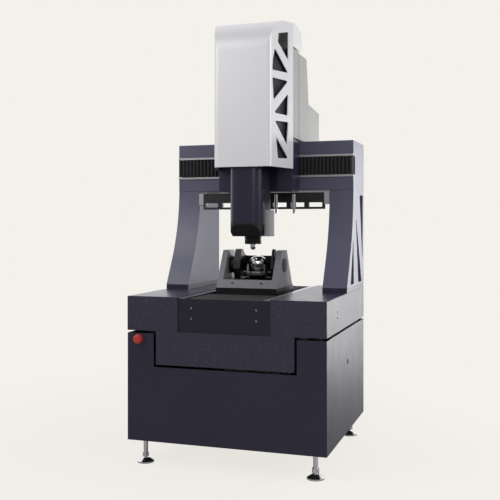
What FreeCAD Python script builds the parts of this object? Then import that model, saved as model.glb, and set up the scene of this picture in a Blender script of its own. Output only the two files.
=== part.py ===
"""Gantry coordinate measuring machine with an optical head and a tilt and rotary table.

The frame: X to the right, Y to the back, Z up, with the origin on the floor under the middle of the stand.
Every driving size is a cell of the sheet "Sizes". Sizes are millimetres, unless a name ends in _count or
names the slope of a face.
"""
import FreeCAD, Part
import math
import os
import re

import Sketcher
from FreeCAD import Vector

SIZES = {
    # stand
    "machine_width": 960, "machine_depth": 910, "stand_bottom": 116, "stand_top": 621, "sheet_metal": 3,
    "shell_return": 120, "panel_gap": 2, "panel_fold": 14, "notch_gap": 12, "post_size": 60,
    "rail_size": 50, "mid_rail_level": 400, "top_rail_level": 550, "tray_thickness": 2,
    "isolator_radius": 40, "isolator_inset": 80, "isolator_pitch": 620, "isolator_plate": 6,
    "controller_width": 400, "controller_depth": 460, "controller_height": 270,
    # feet
    "foot_inset_x": 65, "foot_inset_y": 62.5, "pad_radius": 39.5, "pad_rim": 7, "pad_height": 22,
    "spindle_radius": 10.5, "spindle_hex": 32, "spindle_hex_height": 22, "spindle_neck": 5,
    # controls on the stand
    "estop_inset": 60, "estop_level": 594, "estop_radius": 20, "estop_travel": 4, "collar_radius": 23,
    "collar_bore": 14, "collar_depth": 11, "collar_edge": 2, "button_height": 15, "button_grip": 3,
    "running_gap": 0.05,
    "lock_y": 11, "lock_level": 460, "lock_head_radius": 12, "lock_head_height": 3, "lock_barrel_radius": 8,
    "lock_cam_length": 34, "lock_reach": 6, "lock_slot": 3,
    # granite table
    "table_gap": 12, "table_top": 794, "wing_width": 147, "keel_bottom": 477, "channel_width": 450,
    "channel_floor": 632, "table_round": 5, "cover_recess": 4, "cover_thickness": 6, "cover_drop": 6,
    "strip_width": 36, "strip_thickness": 5, "strip_drop": 3, "screw_radius": 5, "screw_height": 3,
    "cover_screw_inset": 68, "cover_screw_high": 49, "cover_screw_low": 98, "side_screw_front": 226,
    "side_screw_rear": 49, "side_screw_high": 68, "side_screw_low": 95, "seat_gap": 0.3,
    # Y axis
    "y_rail_pitch": 240, "y_rail_width": 22, "y_rail_height": 22, "rail_end_gap": 24, "y_block_width": 60,
    "y_block_length": 84, "y_block_under": 9, "y_block_height": 34, "y_track_width": 62,
    "track_thickness": 10, "y_carriage_width": 300, "y_carriage_front": 145, "y_carriage_rear": 185,
    "coil_gap": 3, "y_bellows_width": 372, "bellows_height": 16, "bellows_drop": 8, "pleat": 16,
    "pleat_skin": 2,
    # columns and beam
    "column_width": 123, "foot_plate": 24, "column_foot_front": 7, "column_knee_y": 151,
    "column_knee_level": 1105, "column_knee_radius": 800, "column_top_front": 163, "pocket_depth": 96,
    "pocket_round": 6, "beam_bottom": 1307, "beam_height": 254, "beam_front": 161, "beam_round": 4,
    "slot_bottom": 1386, "slot_height": 95, "slot_depth": 44, "strip_bar_height": 10, "strip_bar_proud": 8,
    "x_rail_inset": 15, "x_rail_width": 15, "x_rail_height": 15, "x_block_width": 26, "x_block_length": 70,
    "x_block_under": 4, "x_block_height": 24, "x_track_height": 26, "x_bellows_proud": 8,
    # head on the X carriage
    "carriage_x": 4, "carriage_width": 390, "carriage_bottom": 1300, "carriage_top": 1560,
    "carriage_front": 9, "carriage_rear": 145, "guide_width": 236, "guide_floor": 48, "boss_width": 300,
    "hood_bottom": 1410, "hood_front": 205, "hood_front_width": 283, "hood_flare": 0.274, "hood_skin": 4,
    "hood_height": 736, "shoulder_drop": 28, "hood_crown_y": 50, "hood_heel_y": 177,
    "heel_drop": 18, "lip_drop": 106, "nape_drop": 122, "hood_brow_radius": 150,
    "hood_heel_radius": 48, "hood_corner_radius": 26, "window_front": 24, "window_rear": 46,
    "window_round": 5, "core_gap": 15, "core_front": 180, "core_bottom": 1420, "core_drop": 24,
    "core_flange": 8, "housing_skin": 4, "housing_drop": 4, "housing_seam_y": 137, "housing_seam": 8,
    "housing_step": 5, "housing_back_y": 305, "housing_shoulder_y": 350, "housing_shoulder_level": 1781,
    "housing_tail_y": 595, "housing_tail_level": 1762, "housing_clearance": 9, "housing_round": 12,
    # Z axis
    "z_rail_pitch": 110, "z_rail_width": 15, "z_rail_height": 15, "z_rail_bottom": 1320,
    "z_rail_drop": 20, "z_block_width": 34, "z_block_length": 56, "z_block_under": 3,
    "z_block_low": 1335, "z_block_high": 1615, "screw_shaft_radius": 8, "nut_radius": 13, "nut_length": 50,
    "motor_radius": 30, "motor_height": 140,
    "belt_box_height": 10, "belt_box_edge": 4, "core_rear": 90, "nut_level": 1440,
    # quill
    "quill_width": 166, "quill_front": 173, "quill_rear": 20, "quill_corner": 50, "quill_skin": 4,
    "quill_cover_depth": 70, "quill_bottom": 1072, "quill_top": 1690, "seam_level": 1143,
    "seam_slope": 0.25, "chin_level": 1132, "chin_depth": 40, "cheek_level": 1112, "cheek_inset": 12,
    "optic_y": 25, "nose_radius": 42, "nose_height": 40, "nose_edge": 3,
    "objective_radius": 15, "objective_height": 28, "objective_tip_radius": 8,
    "camera_width": 30, "camera_front": 115, "camera_rear": 30, "camera_top": 1202, "fin_pitch": 9,
    "fin_gap": 4, "fin_depth": 12, "fin_count": 7,
    # tool rack
    "rack_front": 145, "rack_bar": 25, "rack_top": 1296, "rack_beam": 51, "rack_lower_level": 1211,
    "rack_lower": 11, "rack_post": 22, "rack_window_count": 7,
    "bracket_width": 25, "bracket_depth": 60, "bracket_height": 60,
    "parked_first": 80, "parked_pitch": 95, "parked_radius": 12, "parked_tip_radius": 7,
    "parked_bottom": 1187, "parked_top": 1288, "parked_collar": 33, "parked_tip": 28,
    # tilt and rotary table
    "stage_width": 314, "stage_front": 134, "stage_rear": 190, "stage_thickness": 23,
    "cheek_width": 312, "cheek_thickness": 28, "cheek_foot_front": 130, "cheek_foot_rear": 170,
    "cheek_head_front": 25, "cheek_head_rear": 65, "cheek_top": 1001, "cheek_round": 14,
    "crossbar_height": 39, "crossbar_depth": 22, "crossbar_screw_x": 75, "tilt_y": 20, "tilt_level": 925,
    "drum_radius": 42, "hub_radius": 34, "hub_proud": 4, "trunnion_radius": 16, "rotary_x": 16,
    "faceplate_radius": 78, "faceplate_top": 886, "faceplate_thickness": 13, "faceplate_edge": 3, "arm_gap": 3,
    "arm_left": 34, "arm_right": 12, "arm_reach": 83, "spindle_house_radius": 50,
    "spindle_house_foot": 34, "spindle_house_bottom": 852, "back_plate": 7, "back_plate_y": 62,
    "back_plate_top": 970, "jaw_width": 16, "jaw_height": 44, "jaw_depth": 10, "jaw_count": 3,
    "chuck_radius": 43, "chuck_height": 8, "ball_radius": 50, "ball_side_count": 9,
}

# Levels and places that several sub-parts share, as expressions of the sheet's sizes.
GRANITE_BOTTOM = "(stand_top + table_gap)"
HALF_WIDTH = "(machine_width / 2)"
HALF_DEPTH = "(machine_depth / 2)"
KEEL_HALF = "(machine_width / 2 - wing_width)"
FOOT_X = "(machine_width / 2 - foot_inset_x)"
FOOT_Y = "(machine_depth / 2 - foot_inset_y)"
FRAME_BOTTOM = "(stand_bottom + tray_thickness)"
FRAME_TOP = "(top_rail_level + rail_size)"
COLUMN_INNER = "(machine_width / 2 - column_width)"
COLUMN_BOTTOM = "(table_top + foot_plate)"
SLOT_TOP = "(slot_bottom + slot_height)"
SLOT_FLOOR = "(beam_front + slot_depth)"
BEAM_TOP = "(beam_bottom + beam_height)"
STAGE_TOP = "(table_top + stage_thickness)"
HOOD_CROWN = "(hood_bottom + hood_height)"
HOOD_SHOULDER = "(hood_bottom + hood_height - shoulder_drop)"
HOOD_HEEL = "(hood_bottom + hood_height - heel_drop)"
HOOD_LIP = "(hood_bottom + hood_height - lip_drop)"
HOOD_NAPE = "(hood_bottom + hood_height - nape_drop)"
CORE_TOP = "(hood_bottom + hood_height - nape_drop - core_drop)"
HOUSING_TOP = "(hood_bottom + hood_height - nape_drop - housing_drop)"
Y_BLOCK_TOP = "(channel_floor + y_block_height)"
X_BLOCK_FRONT = "(beam_front + slot_depth - x_block_height)"
NOSE_BOTTOM = "(quill_bottom - nose_height)"
ARM_LEFT_FACE = "(faceplate_radius + arm_gap - rotary_x)"
ARM_RIGHT_FACE = "(faceplate_radius + arm_gap + rotary_x)"

doc = FreeCAD.newDocument("coordinate_measuring_machine")
sheet = doc.addObject("Spreadsheet::Sheet", "Sizes")
WORD = re.compile(r"[a-z][a-z0-9_]*")
PLANES = {"XY": "XY_Plane", "XZ": "XZ_Plane", "YZ": "YZ_Plane"}
SUB_PARTS = []


def fill_sheet():
    """Write every driving size into a cell of its own, named by its alias."""
    for row, (alias, size) in enumerate(SIZES.items(), start=1):
        sheet.set("A%d" % row, alias)
        sheet.set("B%d" % row, str(size))
        sheet.setAlias("B%d" % row, alias)
    doc.recompute()


def sized(text):
    """Turn a formula of plain size names into one that reads the sheet."""
    return WORD.sub(lambda word: "Sizes." + word.group() if word.group() in SIZES else word.group(), str(text))


def value(text):
    """The number that a formula of size names gives."""
    return float(sheet.evalExpression(sized(text)))


def bind(item, **formulas):
    """Tie properties of an object to formulas of the sheet's sizes."""
    for name, text in formulas.items():
        item.setExpression(name, sized(text))


def place(item, x="0", y="0", z="0"):
    """Tie an object's position to formulas."""
    for axis, text in (("x", x), ("y", y), ("z", z)):
        item.setExpression("Placement.Base." + axis, sized(text))
    return item


def finished(item, label):
    """Name a finished sub-part and put it on the list that is written out."""
    item.Label = label
    SUB_PARTS.append(item)
    return item


def box(name, x, y, z):
    """A block between two formulas along each axis."""
    item = doc.addObject("Part::Box", name)
    bind(item, Length="(%s) - (%s)" % (x[1], x[0]), Width="(%s) - (%s)" % (y[1], y[0]),
         Height="(%s) - (%s)" % (z[1], z[0]))
    return place(item, x[0], y[0], z[0])


def cylinder(name, radius, length, x="0", y="0", z="0", along="Z"):
    """A round bar that starts at a point and runs along one axis."""
    item = doc.addObject("Part::Cylinder", name)
    turns = {"Z": FreeCAD.Rotation(), "X": FreeCAD.Rotation(Vector(0, 1, 0), 90),
             "Y": FreeCAD.Rotation(Vector(1, 0, 0), -90)}
    item.Placement.Rotation = turns[along]
    bind(item, Radius=radius, Height=length)
    return place(item, x, y, z)


def group(label, items):
    """Separate solids that make one node."""
    item = doc.addObject("Part::Compound", label + "_group")
    item.Links = items
    return item


def fuse(name, items):
    """Solids that are one piece on the real machine."""
    item = doc.addObject("Part::MultiFuse", name)
    item.Shapes = items
    item.Refine = True
    return item


def cut(name, base, tool):
    """A solid with another one taken out of it."""
    item = doc.addObject("Part::Cut", name)
    item.Base = base
    item.Tool = tool
    item.Refine = True
    return item


def mirror(item, normal):
    """The mirror image of a solid in a plane through the origin."""
    copy = doc.addObject("Part::Mirroring", item.Name + "_mirrored")
    copy.Source = item
    copy.Normal = normal
    return copy


def pair(name, item, normal=Vector(1, 0, 0)):
    """A solid and its mirror image."""
    return group(name, [item, mirror(item, normal)])


def four(name, item):
    """A solid in each quarter of the plan."""
    return pair(name, pair(name + "_side", item), Vector(0, 1, 0))


def body(name):
    """An empty body; names end in _body so that the label stays free for the sub-part."""
    return doc.addObject("PartDesign::Body", name + "_body")


def sketch(owner, plane, level):
    """A sketch on one of a body's own origin planes, moved along the plane's axis to a level."""
    item = owner.newObject("Sketcher::SketchObject", owner.Name + "_sketch")
    role = PLANES[plane]
    item.AttachmentSupport = [(feature, "") for feature in owner.Origin.OriginFeatures if feature.Role == role]
    item.MapMode = "FlatFace"
    sign = "-" if plane == "XZ" else ""
    item.setExpression("AttachmentOffset.Base.z", sized("%s(%s)" % (sign, level)))
    return item


def outline(item, corners):
    """A closed outline whose every corner is held by two distances from the origin."""
    spots = [Vector(value(u), value(v), 0) for u, v in corners]
    count = len(spots)
    item.addGeometry([Part.LineSegment(spots[n], spots[(n + 1) % count]) for n in range(count)], False)
    rules = [Sketcher.Constraint("Coincident", n, 2, (n + 1) % count, 1) for n in range(count)]
    item.addConstraint(rules)
    for n, (u, v) in enumerate(corners):
        across = item.addConstraint(Sketcher.Constraint("DistanceX", -1, 1, n, 1, spots[n].x))
        item.setExpression("Constraints[%d]" % across, sized(u))
        up = item.addConstraint(Sketcher.Constraint("DistanceY", -1, 1, n, 1, spots[n].y))
        item.setExpression("Constraints[%d]" % up, sized(v))


def circles(item, spots):
    """Circles given as centre and radius formulas."""
    for number, (u, v, radius) in enumerate(spots):
        centre = Vector(value(u), value(v), 0)
        item.addGeometry(Part.Circle(centre, Vector(0, 0, 1), value(radius)), False)
        rules = ((("DistanceX", -1, 1, number, 3, centre.x), u), (("DistanceY", -1, 1, number, 3, centre.y), v),
                 (("Radius", number, value(radius)), radius))
        for rule, text in rules:
            item.setExpression("Constraints[%d]" % item.addConstraint(Sketcher.Constraint(*rule)), sized(text))


def pad(owner, plane, low, high, corners=None, rounds=None):
    """Add a prism between two levels along the plane's axis."""
    profile = sketch(owner, plane, high if plane == "XZ" else low)
    if corners:
        outline(profile, corners)
    if rounds:
        circles(profile, rounds)
    feature = owner.newObject("PartDesign::Pad", owner.Name + "_pad")
    feature.Profile = profile
    bind(feature, Length="(%s) - (%s)" % (high, low))
    doc.recompute()
    return feature


def pocket(owner, plane, low, high, corners=None, rounds=None):
    """Cut a prism between two levels along the plane's axis."""
    profile = sketch(owner, plane, low if plane == "XZ" else high)
    if corners:
        outline(profile, corners)
    if rounds:
        circles(profile, rounds)
    before = owner.Tip.Shape.Volume
    feature = owner.newObject("PartDesign::Pocket", owner.Name + "_pocket")
    feature.Profile = profile
    bind(feature, Length="(%s) - (%s)" % (high, low))
    doc.recompute()
    if feature.Shape.Volume >= before:
        raise RuntimeError("%s cuts nothing" % feature.Name)
    return feature


def edges(shape, along, where=lambda spot: True):
    """Names of a shape's straight edges that run along one axis and pass a test on their middle."""
    names = []
    for number, edge in enumerate(shape.Edges, start=1):
        if edge.Curve.TypeId != "Part::GeomLine":
            continue
        direction = edge.tangentAt(edge.FirstParameter)
        if abs(getattr(direction, along)) > 0.999999 and where(edge.CenterOfMass):
            names.append("Edge%d" % number)
    return names


def near(first, second):
    """Whether two lengths are the same place on the machine."""
    return abs(first - second) < 0.01


def rounded(owner, radius, names):
    """Round edges of a body's last feature."""
    base = owner.Tip
    feature = owner.newObject("PartDesign::Fillet", owner.Name + "_fillet")
    feature.Base = (base, names)
    bind(feature, Radius=radius)
    doc.recompute()
    return feature


def revolved(name, corners):
    """A turned solid about its own Z axis, from an outline of radius and height."""
    owner = body(name)
    profile = sketch(owner, "XZ", "0")
    outline(profile, corners)
    feature = owner.newObject("PartDesign::Revolution", owner.Name + "_turn")
    feature.Profile = profile
    feature.ReferenceAxis = (profile, ["V_Axis"])
    feature.Angle = 360
    return owner


def rectangle(half, near_end, far_end):
    """Corners of a rectangle that is centred across the first axis."""
    low, high = "-(%s)" % half, "(%s)" % half
    return [(low, near_end), (high, near_end), (high, far_end), (low, far_end)]


def mirrored_span(low, high, sign):
    """Two formulas along X, or the same stretch on the machine's left side."""
    return (low, high) if sign > 0 else ("-(%s)" % high, "-(%s)" % low)


def feet():
    """Domed pads and threaded spindles with their hexagons, one at each corner."""
    pad_body = revolved("foot_pad", [("0", "0"), ("pad_radius", "0"), ("pad_radius", "pad_rim"),
                                     ("spindle_radius + spindle_neck", "pad_height"), ("0", "pad_height")])
    place(pad_body, FOOT_X, FOOT_Y)
    finished(four("foot_pads", pad_body), "foot_pads")
    hex_low = "(pad_height + spindle_neck)"
    hex_high = "(pad_height + spindle_neck + spindle_hex_height)"
    neck = cylinder("spindle_ball", "spindle_radius * 0.8", "spindle_neck", FOOT_X, FOOT_Y, "pad_height")
    nut = doc.addObject("Part::Prism", "spindle_nut")
    nut.Polygon = 6
    bind(nut, Circumradius="spindle_hex / 2", Height="spindle_hex_height")
    place(nut, FOOT_X, FOOT_Y, hex_low)
    rod = cylinder("spindle_rod", "spindle_radius", "(%s) - (%s)" % (FRAME_BOTTOM, hex_high), FOOT_X, FOOT_Y,
                   hex_high)
    finished(four("foot_spindles", fuse("foot_spindle", [neck, nut, rod])), "foot_spindles")


def stand_frame():
    """Welded square tubes: posts over the feet, a bottom ring, mid rails and two top rails for the granite."""
    owner = body("stand_frame")
    out_x, in_x = FOOT_X + " + post_size / 2", FOOT_X + " - post_size / 2"
    out_y, in_y = FOOT_Y + " + post_size / 2", FOOT_Y + " - post_size / 2"
    pad(owner, "XY", FRAME_BOTTOM, FRAME_BOTTOM + " + rail_size", rectangle(out_x, "-(%s)" % out_y, out_y))
    inner = rectangle(FOOT_X + " + post_size / 2 - rail_size", "-(%s) + rail_size" % out_y,
                      out_y + " - rail_size")
    pocket(owner, "XY", FRAME_BOTTOM, FRAME_BOTTOM + " + rail_size", inner)
    for x_low, x_high in ((in_x, out_x), ("-(%s)" % out_x, "-(%s)" % in_x)):
        for y_low, y_high in ((in_y, out_y), ("-(%s)" % out_y, "-(%s)" % in_y)):
            corners = [(x_low, y_low), (x_high, y_low), (x_high, y_high), (x_low, y_high)]
            pad(owner, "XY", FRAME_BOTTOM, FRAME_TOP, corners)
        rail = [(x_low, "-(%s)" % out_y), (x_high, "-(%s)" % out_y), (x_high, out_y), (x_low, out_y)]
        pad(owner, "XY", "top_rail_level", FRAME_TOP, rail)
    for y_low, y_high in ((in_y, out_y), ("-(%s)" % out_y, "-(%s)" % in_y)):
        rail = [("-(%s)" % out_x, y_low), (out_x, y_low), (out_x, y_high), ("-(%s)" % out_x, y_high)]
        pad(owner, "XY", "mid_rail_level", "mid_rail_level + rail_size", rail)
    finished(owner, "stand_frame")


def shell(label, front):
    """A sheet-metal cover that wraps one end of the stand, with a notch for the granite's keel."""
    owner = body(label)
    sign = "-" if front else ""
    end, back = "%s%s" % (sign, HALF_DEPTH), "%s(machine_depth / 2 - shell_return)" % sign
    inner_end = "%s(machine_depth / 2 - sheet_metal)" % sign
    far, skin = HALF_WIDTH, "(machine_width / 2 - sheet_metal)"
    corners = [("-" + far, back), ("-" + far, end), (far, end), (far, back), (skin, back), (skin, inner_end),
               ("-" + skin, inner_end), ("-" + skin, back)]
    pad(owner, "XY", "stand_bottom", "stand_top", corners)
    outer_y = value(end)
    rounded(owner, "sheet_metal", edges(owner.Tip.Shape, "z", lambda spot: near(spot.y, outer_y)))
    low, high = (end, inner_end) if front else (inner_end, end)
    notch = rectangle("(%s + notch_gap)" % KEEL_HALF, "keel_bottom - notch_gap", "stand_top + 1")
    pocket(owner, "XZ", "%s - 1" % low, "%s + 1" % high, notch)
    finished(owner, label)


def side_panel(label, sign):
    """A removable side door of folded sheet with a bore for its lock."""
    owner = body(label)
    inside = "(machine_width / 2 - sheet_metal)"
    skin = mirrored_span(inside, HALF_WIDTH, sign)
    edge = "(machine_depth / 2 - shell_return - panel_gap)"
    pad(owner, "YZ", *skin, corners=rectangle(edge, "stand_bottom", "stand_top"))
    folds = mirrored_span(inside + " - panel_fold", inside, sign)
    for level in ("stand_bottom + tray_thickness + seat_gap", "stand_top - sheet_metal"):
        pad(owner, "YZ", *folds, corners=rectangle(edge, level, "%s + sheet_metal" % level))
    bore = [("lock_y", "lock_level", "lock_barrel_radius + running_gap")]
    pocket(owner, "YZ", *skin, rounds=bore)
    finished(owner, label)


def panel_lock(label, sign):
    """A quarter-turn lock: slotted head, barrel through the door and a cam behind it."""
    owner = body(label)
    door, tail = HALF_WIDTH, "(machine_width / 2 - sheet_metal - lock_reach)"
    head = mirrored_span(door, door + " + lock_head_height", sign)
    pad(owner, "YZ", *head, rounds=[("lock_y", "lock_level", "lock_head_radius")])
    pad(owner, "YZ", *mirrored_span(tail, door, sign), rounds=[("lock_y", "lock_level", "lock_barrel_radius")])
    cam = [("lock_y - lock_barrel_radius", "lock_level - lock_barrel_radius"),
           ("lock_y + lock_barrel_radius", "lock_level - lock_barrel_radius"),
           ("lock_y + lock_barrel_radius", "lock_level + lock_cam_length"),
           ("lock_y - lock_barrel_radius", "lock_level + lock_cam_length")]
    pad(owner, "YZ", *mirrored_span(tail + " - lock_head_height", tail, sign), corners=cam)
    low, high = head
    if sign < 0:
        high = "%s + lock_slot / 2" % low
    else:
        low = "%s - lock_slot / 2" % high
    slot = [("lock_y - lock_slot / 2", "lock_level - lock_head_radius - 1"),
            ("lock_y + lock_slot / 2", "lock_level - lock_head_radius - 1"),
            ("lock_y + lock_slot / 2", "lock_level + lock_head_radius + 1"),
            ("lock_y - lock_slot / 2", "lock_level + lock_head_radius + 1")]
    pocket(owner, "YZ", low, high, slot)
    finished(owner, label)


def floor_tray():
    """The sheet floor of the stand, with holes that the foot spindles pass through."""
    owner = body("floor_tray")
    half_x = "(machine_width / 2 - sheet_metal - seat_gap)"
    half_y = "(machine_depth / 2 - sheet_metal - seat_gap)"
    pad(owner, "XY", "stand_bottom", FRAME_BOTTOM, rectangle(half_x, "-" + half_y, half_y))
    holes = [(x, y, "spindle_radius + seat_gap") for x in (FOOT_X, "-" + FOOT_X)
             for y in (FOOT_Y, "-" + FOOT_Y)]
    pocket(owner, "XY", "stand_bottom - 1", FRAME_BOTTOM + " + 1", rounds=holes)
    finished(owner, "floor_tray")


def isolators():
    """Rubber-and-steel isolators between the frame's top rails and the wings of the granite."""
    spot = ("(machine_width / 2 - isolator_inset)", "(isolator_pitch / 2)")
    height = "(%s - %s)" % (GRANITE_BOTTOM, FRAME_TOP)
    waist = "isolator_radius * 0.8"
    owner = revolved("isolator", [("0", "0"), ("isolator_radius", "0"), ("isolator_radius", "isolator_plate"),
                                  (waist, "isolator_plate"), (waist, height + " - isolator_plate"),
                                  ("isolator_radius", height + " - isolator_plate"),
                                  ("isolator_radius", height), ("0", height)])
    place(owner, spot[0], spot[1], FRAME_TOP)
    finished(four("isolators", owner), "isolators")


def controller_unit():
    """The motion controller on the stand's floor, a case with cooling slots in its front."""
    owner = body("controller_unit")
    half, base = "(controller_width / 2)", FRAME_BOTTOM
    pad(owner, "XY", base, base + " + controller_height",
        rectangle(half, "-controller_depth / 2", "controller_depth / 2"))
    for number in range(5):
        level = "%s + controller_height * (0.3 + %g)" % (base, number * 0.1)
        slot = rectangle("(controller_width * 0.35)", level, level + " + rail_size / 10")
        pocket(owner, "XZ", "-controller_depth / 2 - 1", "-controller_depth / 2 + sheet_metal", slot)
    finished(owner, "controller_unit")


def estop():
    """The emergency stop: a collar on the front shell and a mushroom button that slides in it."""
    collar = revolved("estop_collar", [("collar_bore + running_gap", "0"), ("collar_radius", "0"),
                                       ("collar_radius", "collar_depth - collar_edge"),
                                       ("collar_radius - collar_edge", "collar_depth"),
                                       ("collar_bore + running_gap", "collar_depth")])
    foot = "collar_depth - estop_travel - button_grip"
    button = revolved("estop_button", [
        ("0", foot), ("collar_bore", foot),
        ("collar_bore", "collar_depth + estop_travel + seat_gap"),
        ("estop_radius", "collar_depth + estop_travel + seat_gap"),
        ("estop_radius", "collar_depth + button_height * 0.7"),
        ("estop_radius * 0.7", "collar_depth + button_height"), ("0", "collar_depth + button_height")])
    for item, label in ((collar, "estop_collar"), (button, "estop_button")):
        item.Placement.Rotation = FreeCAD.Rotation(Vector(1, 0, 0), 90)
        place(item, "estop_inset - machine_width / 2", "-" + HALF_DEPTH, "estop_level")
        finished(item, label)


def granite_table():
    """The granite: a slab with a channel for the Y axis, on a narrower keel."""
    owner = body("granite_table")
    keel, wing, channel = KEEL_HALF, HALF_WIDTH, "(channel_width / 2)"
    corners = [("-" + keel, "keel_bottom"), (keel, "keel_bottom"), (keel, GRANITE_BOTTOM),
               (wing, GRANITE_BOTTOM), (wing, "table_top"), (channel, "table_top"), (channel, "channel_floor"),
               ("-" + channel, "channel_floor"), ("-" + channel, "table_top"), ("-" + wing, "table_top"),
               ("-" + wing, GRANITE_BOTTOM), ("-" + keel, GRANITE_BOTTOM)]
    pad(owner, "XZ", "-" + HALF_DEPTH, HALF_DEPTH, corners)
    top, side = value("table_top"), value(HALF_WIDTH)
    rounded(owner, "table_round", edges(owner.Tip.Shape, "y", lambda spot: near(spot.z, top) and
                                        near(abs(spot.x), side)))
    finished(owner, "granite_table")


def channel_covers():
    """Recessed covers that close the Y channel's ends, their screws, and the strips beside the bellows."""
    half, top = "(channel_width / 2 - seat_gap)", "(table_top - cover_drop)"
    face = "(machine_depth / 2 - cover_recess)"
    cover = box("channel_cover", ("-" + half, half), ("-" + face, "-%s + cover_thickness" % face),
                ("channel_floor + seat_gap", top))
    finished(pair("channel_end_covers", cover, Vector(0, 1, 0)), "channel_end_covers")
    across = "(channel_width / 2 - cover_screw_inset)"
    spots = [(x, "table_top - cover_screw_" + row) for x in ("-" + across, across) for row in ("high", "low")]
    screws = [cylinder("cover_screw_%d" % number, "screw_radius", "screw_height", x,
                       "-%s - screw_height" % face, level, "Y") for number, (x, level) in enumerate(spots)]
    low, high = "table_top - side_screw_low", "table_top - side_screw_high"
    sides = [("side_screw_front - machine_depth / 2", high), ("side_screw_front - machine_depth / 2", low),
             ("machine_depth / 2 - side_screw_rear", low)]
    screws += [cylinder("side_screw_%d" % number, "screw_radius", "screw_height", HALF_WIDTH, y, level, "X")
               for number, (y, level) in enumerate(sides)]
    finished(group("cover_screws", screws), "cover_screws")
    low, high = "(channel_width / 2 - strip_width)", half
    level = "(table_top - strip_drop)"
    strip = box("channel_strip", (low, high), ("-" + face + " + cover_thickness", face + " - cover_thickness"),
                (level + " - strip_thickness", level))
    finished(pair("channel_side_strips", strip), "channel_side_strips")


def rail(name, plane, low, high, axis, spot):
    """A linear rail with a waist under its head; spot turns places in its section into the machine's."""
    half, waist = "(%s_rail_width / 2)" % axis, "(%s_rail_width * 0.35)" % axis
    right = [(half, "0"), (half, "0.35"), (waist, "0.5"), (waist, "0.65"), (half, "0.8"), (half, "1")]
    left = [("-" + across, share) for across, share in reversed(right)]
    owner = body(name)
    pad(owner, plane, low, high, [spot(across, "%s * %s_rail_height" % (share, axis))
                                  for across, share in right + left])
    return owner


def runner_block(name, plane, low, axis, height, spot):
    """A runner block that straddles a rail, from just over the rail's foot plane to what it carries."""
    half, groove = "(%s_block_width / 2)" % axis, "(%s_rail_width / 2 + seat_gap)" % axis
    under, roof = "%s_block_under" % axis, "(%s_rail_height + seat_gap)" % axis
    right = [(half, under), (half, height)]
    inner = [("-" + groove, under), ("-" + groove, roof), (groove, roof), (groove, under)]
    left = [("-" + half, height), ("-" + half, under)]
    owner = body(name)
    pad(owner, plane, low, "%s + %s_block_length" % (low, axis), [spot(u, v) for u, v in right + left + inner])
    return owner


def y_axis():
    """Rails and magnet track on the channel floor, the carriage and its runner blocks."""
    def spot(across, height):
        return "y_rail_pitch / 2 + %s" % across, "channel_floor + %s" % height
    reach = "(machine_depth / 2 - rail_end_gap)"
    finished(pair("y_rails", rail("y_rail", "XZ", "-" + reach, reach, "y", spot)), "y_rails")
    track = box("y_track", ("-y_track_width / 2", "y_track_width / 2"), ("-" + reach, reach),
                ("channel_floor", "channel_floor + track_thickness"))
    finished(track, "y_motor_track")
    blocks = [runner_block("y_block_" + end, "XZ", low, "y", "y_block_height", spot)
              for end, low in (("rear", "y_carriage_rear - y_block_length"), ("front", "-y_carriage_front"))]
    finished(pair("y_runner_blocks", group("y_block_side", blocks)), "y_runner_blocks")
    owner = body("y_carriage")
    pad(owner, "XY", Y_BLOCK_TOP, "table_top",
        rectangle("(y_carriage_width / 2)", "-y_carriage_front", "y_carriage_rear"))
    pad(owner, "XY", "channel_floor + track_thickness + coil_gap", Y_BLOCK_TOP,
        rectangle("(y_track_width / 2)", "-y_carriage_front", "y_carriage_rear"))
    finished(owner, "y_carriage")


def zigzag(width, depth, length, pitch, skin):
    """The section of a folded bellows: a face of pleats over a flat back, along its length."""
    count = max(2, round(length / pitch))
    step = length / count
    front = []
    for number in range(count):
        front += [Vector(number * step, 0, 0), Vector((number + 0.5) * step, depth - skin, 0)]
    front.append(Vector(length, 0, 0))
    back = [Vector(length, depth, 0), Vector(0, depth, 0)]
    wire = Part.makePolygon(front + back + [front[0]])
    return Part.Face(wire).extrude(Vector(0, 0, width))


def bellows(label, width, depth, length, turn, spot):
    """A pleated way cover, closed on all sides, laid from one point along its travel."""
    item = doc.addObject("Part::Feature", label)
    item.Shape = zigzag(value(width), value(depth), value(length), value("pleat"), value("pleat_skin"))
    item.Placement = FreeCAD.Placement(Vector(*[value(part) for part in spot]), turn)
    finished(item, label)


def way_covers():
    """The bellows before and behind the Y carriage, and at both sides of the X carriage."""
    lie_flat = FreeCAD.Rotation(Vector(0, 1, 0), Vector(0, 0, -1), Vector(-1, 0, 0), "XYZ")
    end = "(machine_depth / 2 - cover_recess - cover_thickness - seat_gap)"
    top = "(table_top - bellows_drop)"
    half = "y_bellows_width / 2"
    bellows("y_bellows_front", "y_bellows_width", "bellows_height", end + " - y_carriage_front - seat_gap",
            lie_flat, (half, "-" + end, top))
    bellows("y_bellows_rear", "y_bellows_width", "bellows_height", end + " - y_carriage_rear - seat_gap",
            lie_flat, (half, "y_carriage_rear + seat_gap", top))
    stand = FreeCAD.Rotation()
    face, level = "beam_front - x_bellows_proud - strip_bar_proud", "slot_bottom + seat_gap"
    width, depth = "slot_height - 2 * seat_gap", "x_bellows_proud + strip_bar_proud + x_block_under * 4"
    half = "carriage_width / 2"
    bellows("x_bellows_left", width, depth, "machine_width / 2 - %s + carriage_x - seat_gap" % half, stand,
            ("-" + HALF_WIDTH, face, level))
    bellows("x_bellows_right", width, depth, "machine_width / 2 - %s - carriage_x - seat_gap" % half, stand,
            (half + " + carriage_x + seat_gap", face, level))


# Triangular lightening pockets in the columns' outer faces: each corner is its distance from the machine's
# rear face and its height above the column's foot.
COLUMN_POCKETS = (((367, 10), (285, 10), (295, 262)),
                  ((158, 10), (67, 10), (235, 383)),
                  ((120, 468), (26, 468), (35, 100)))


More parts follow.
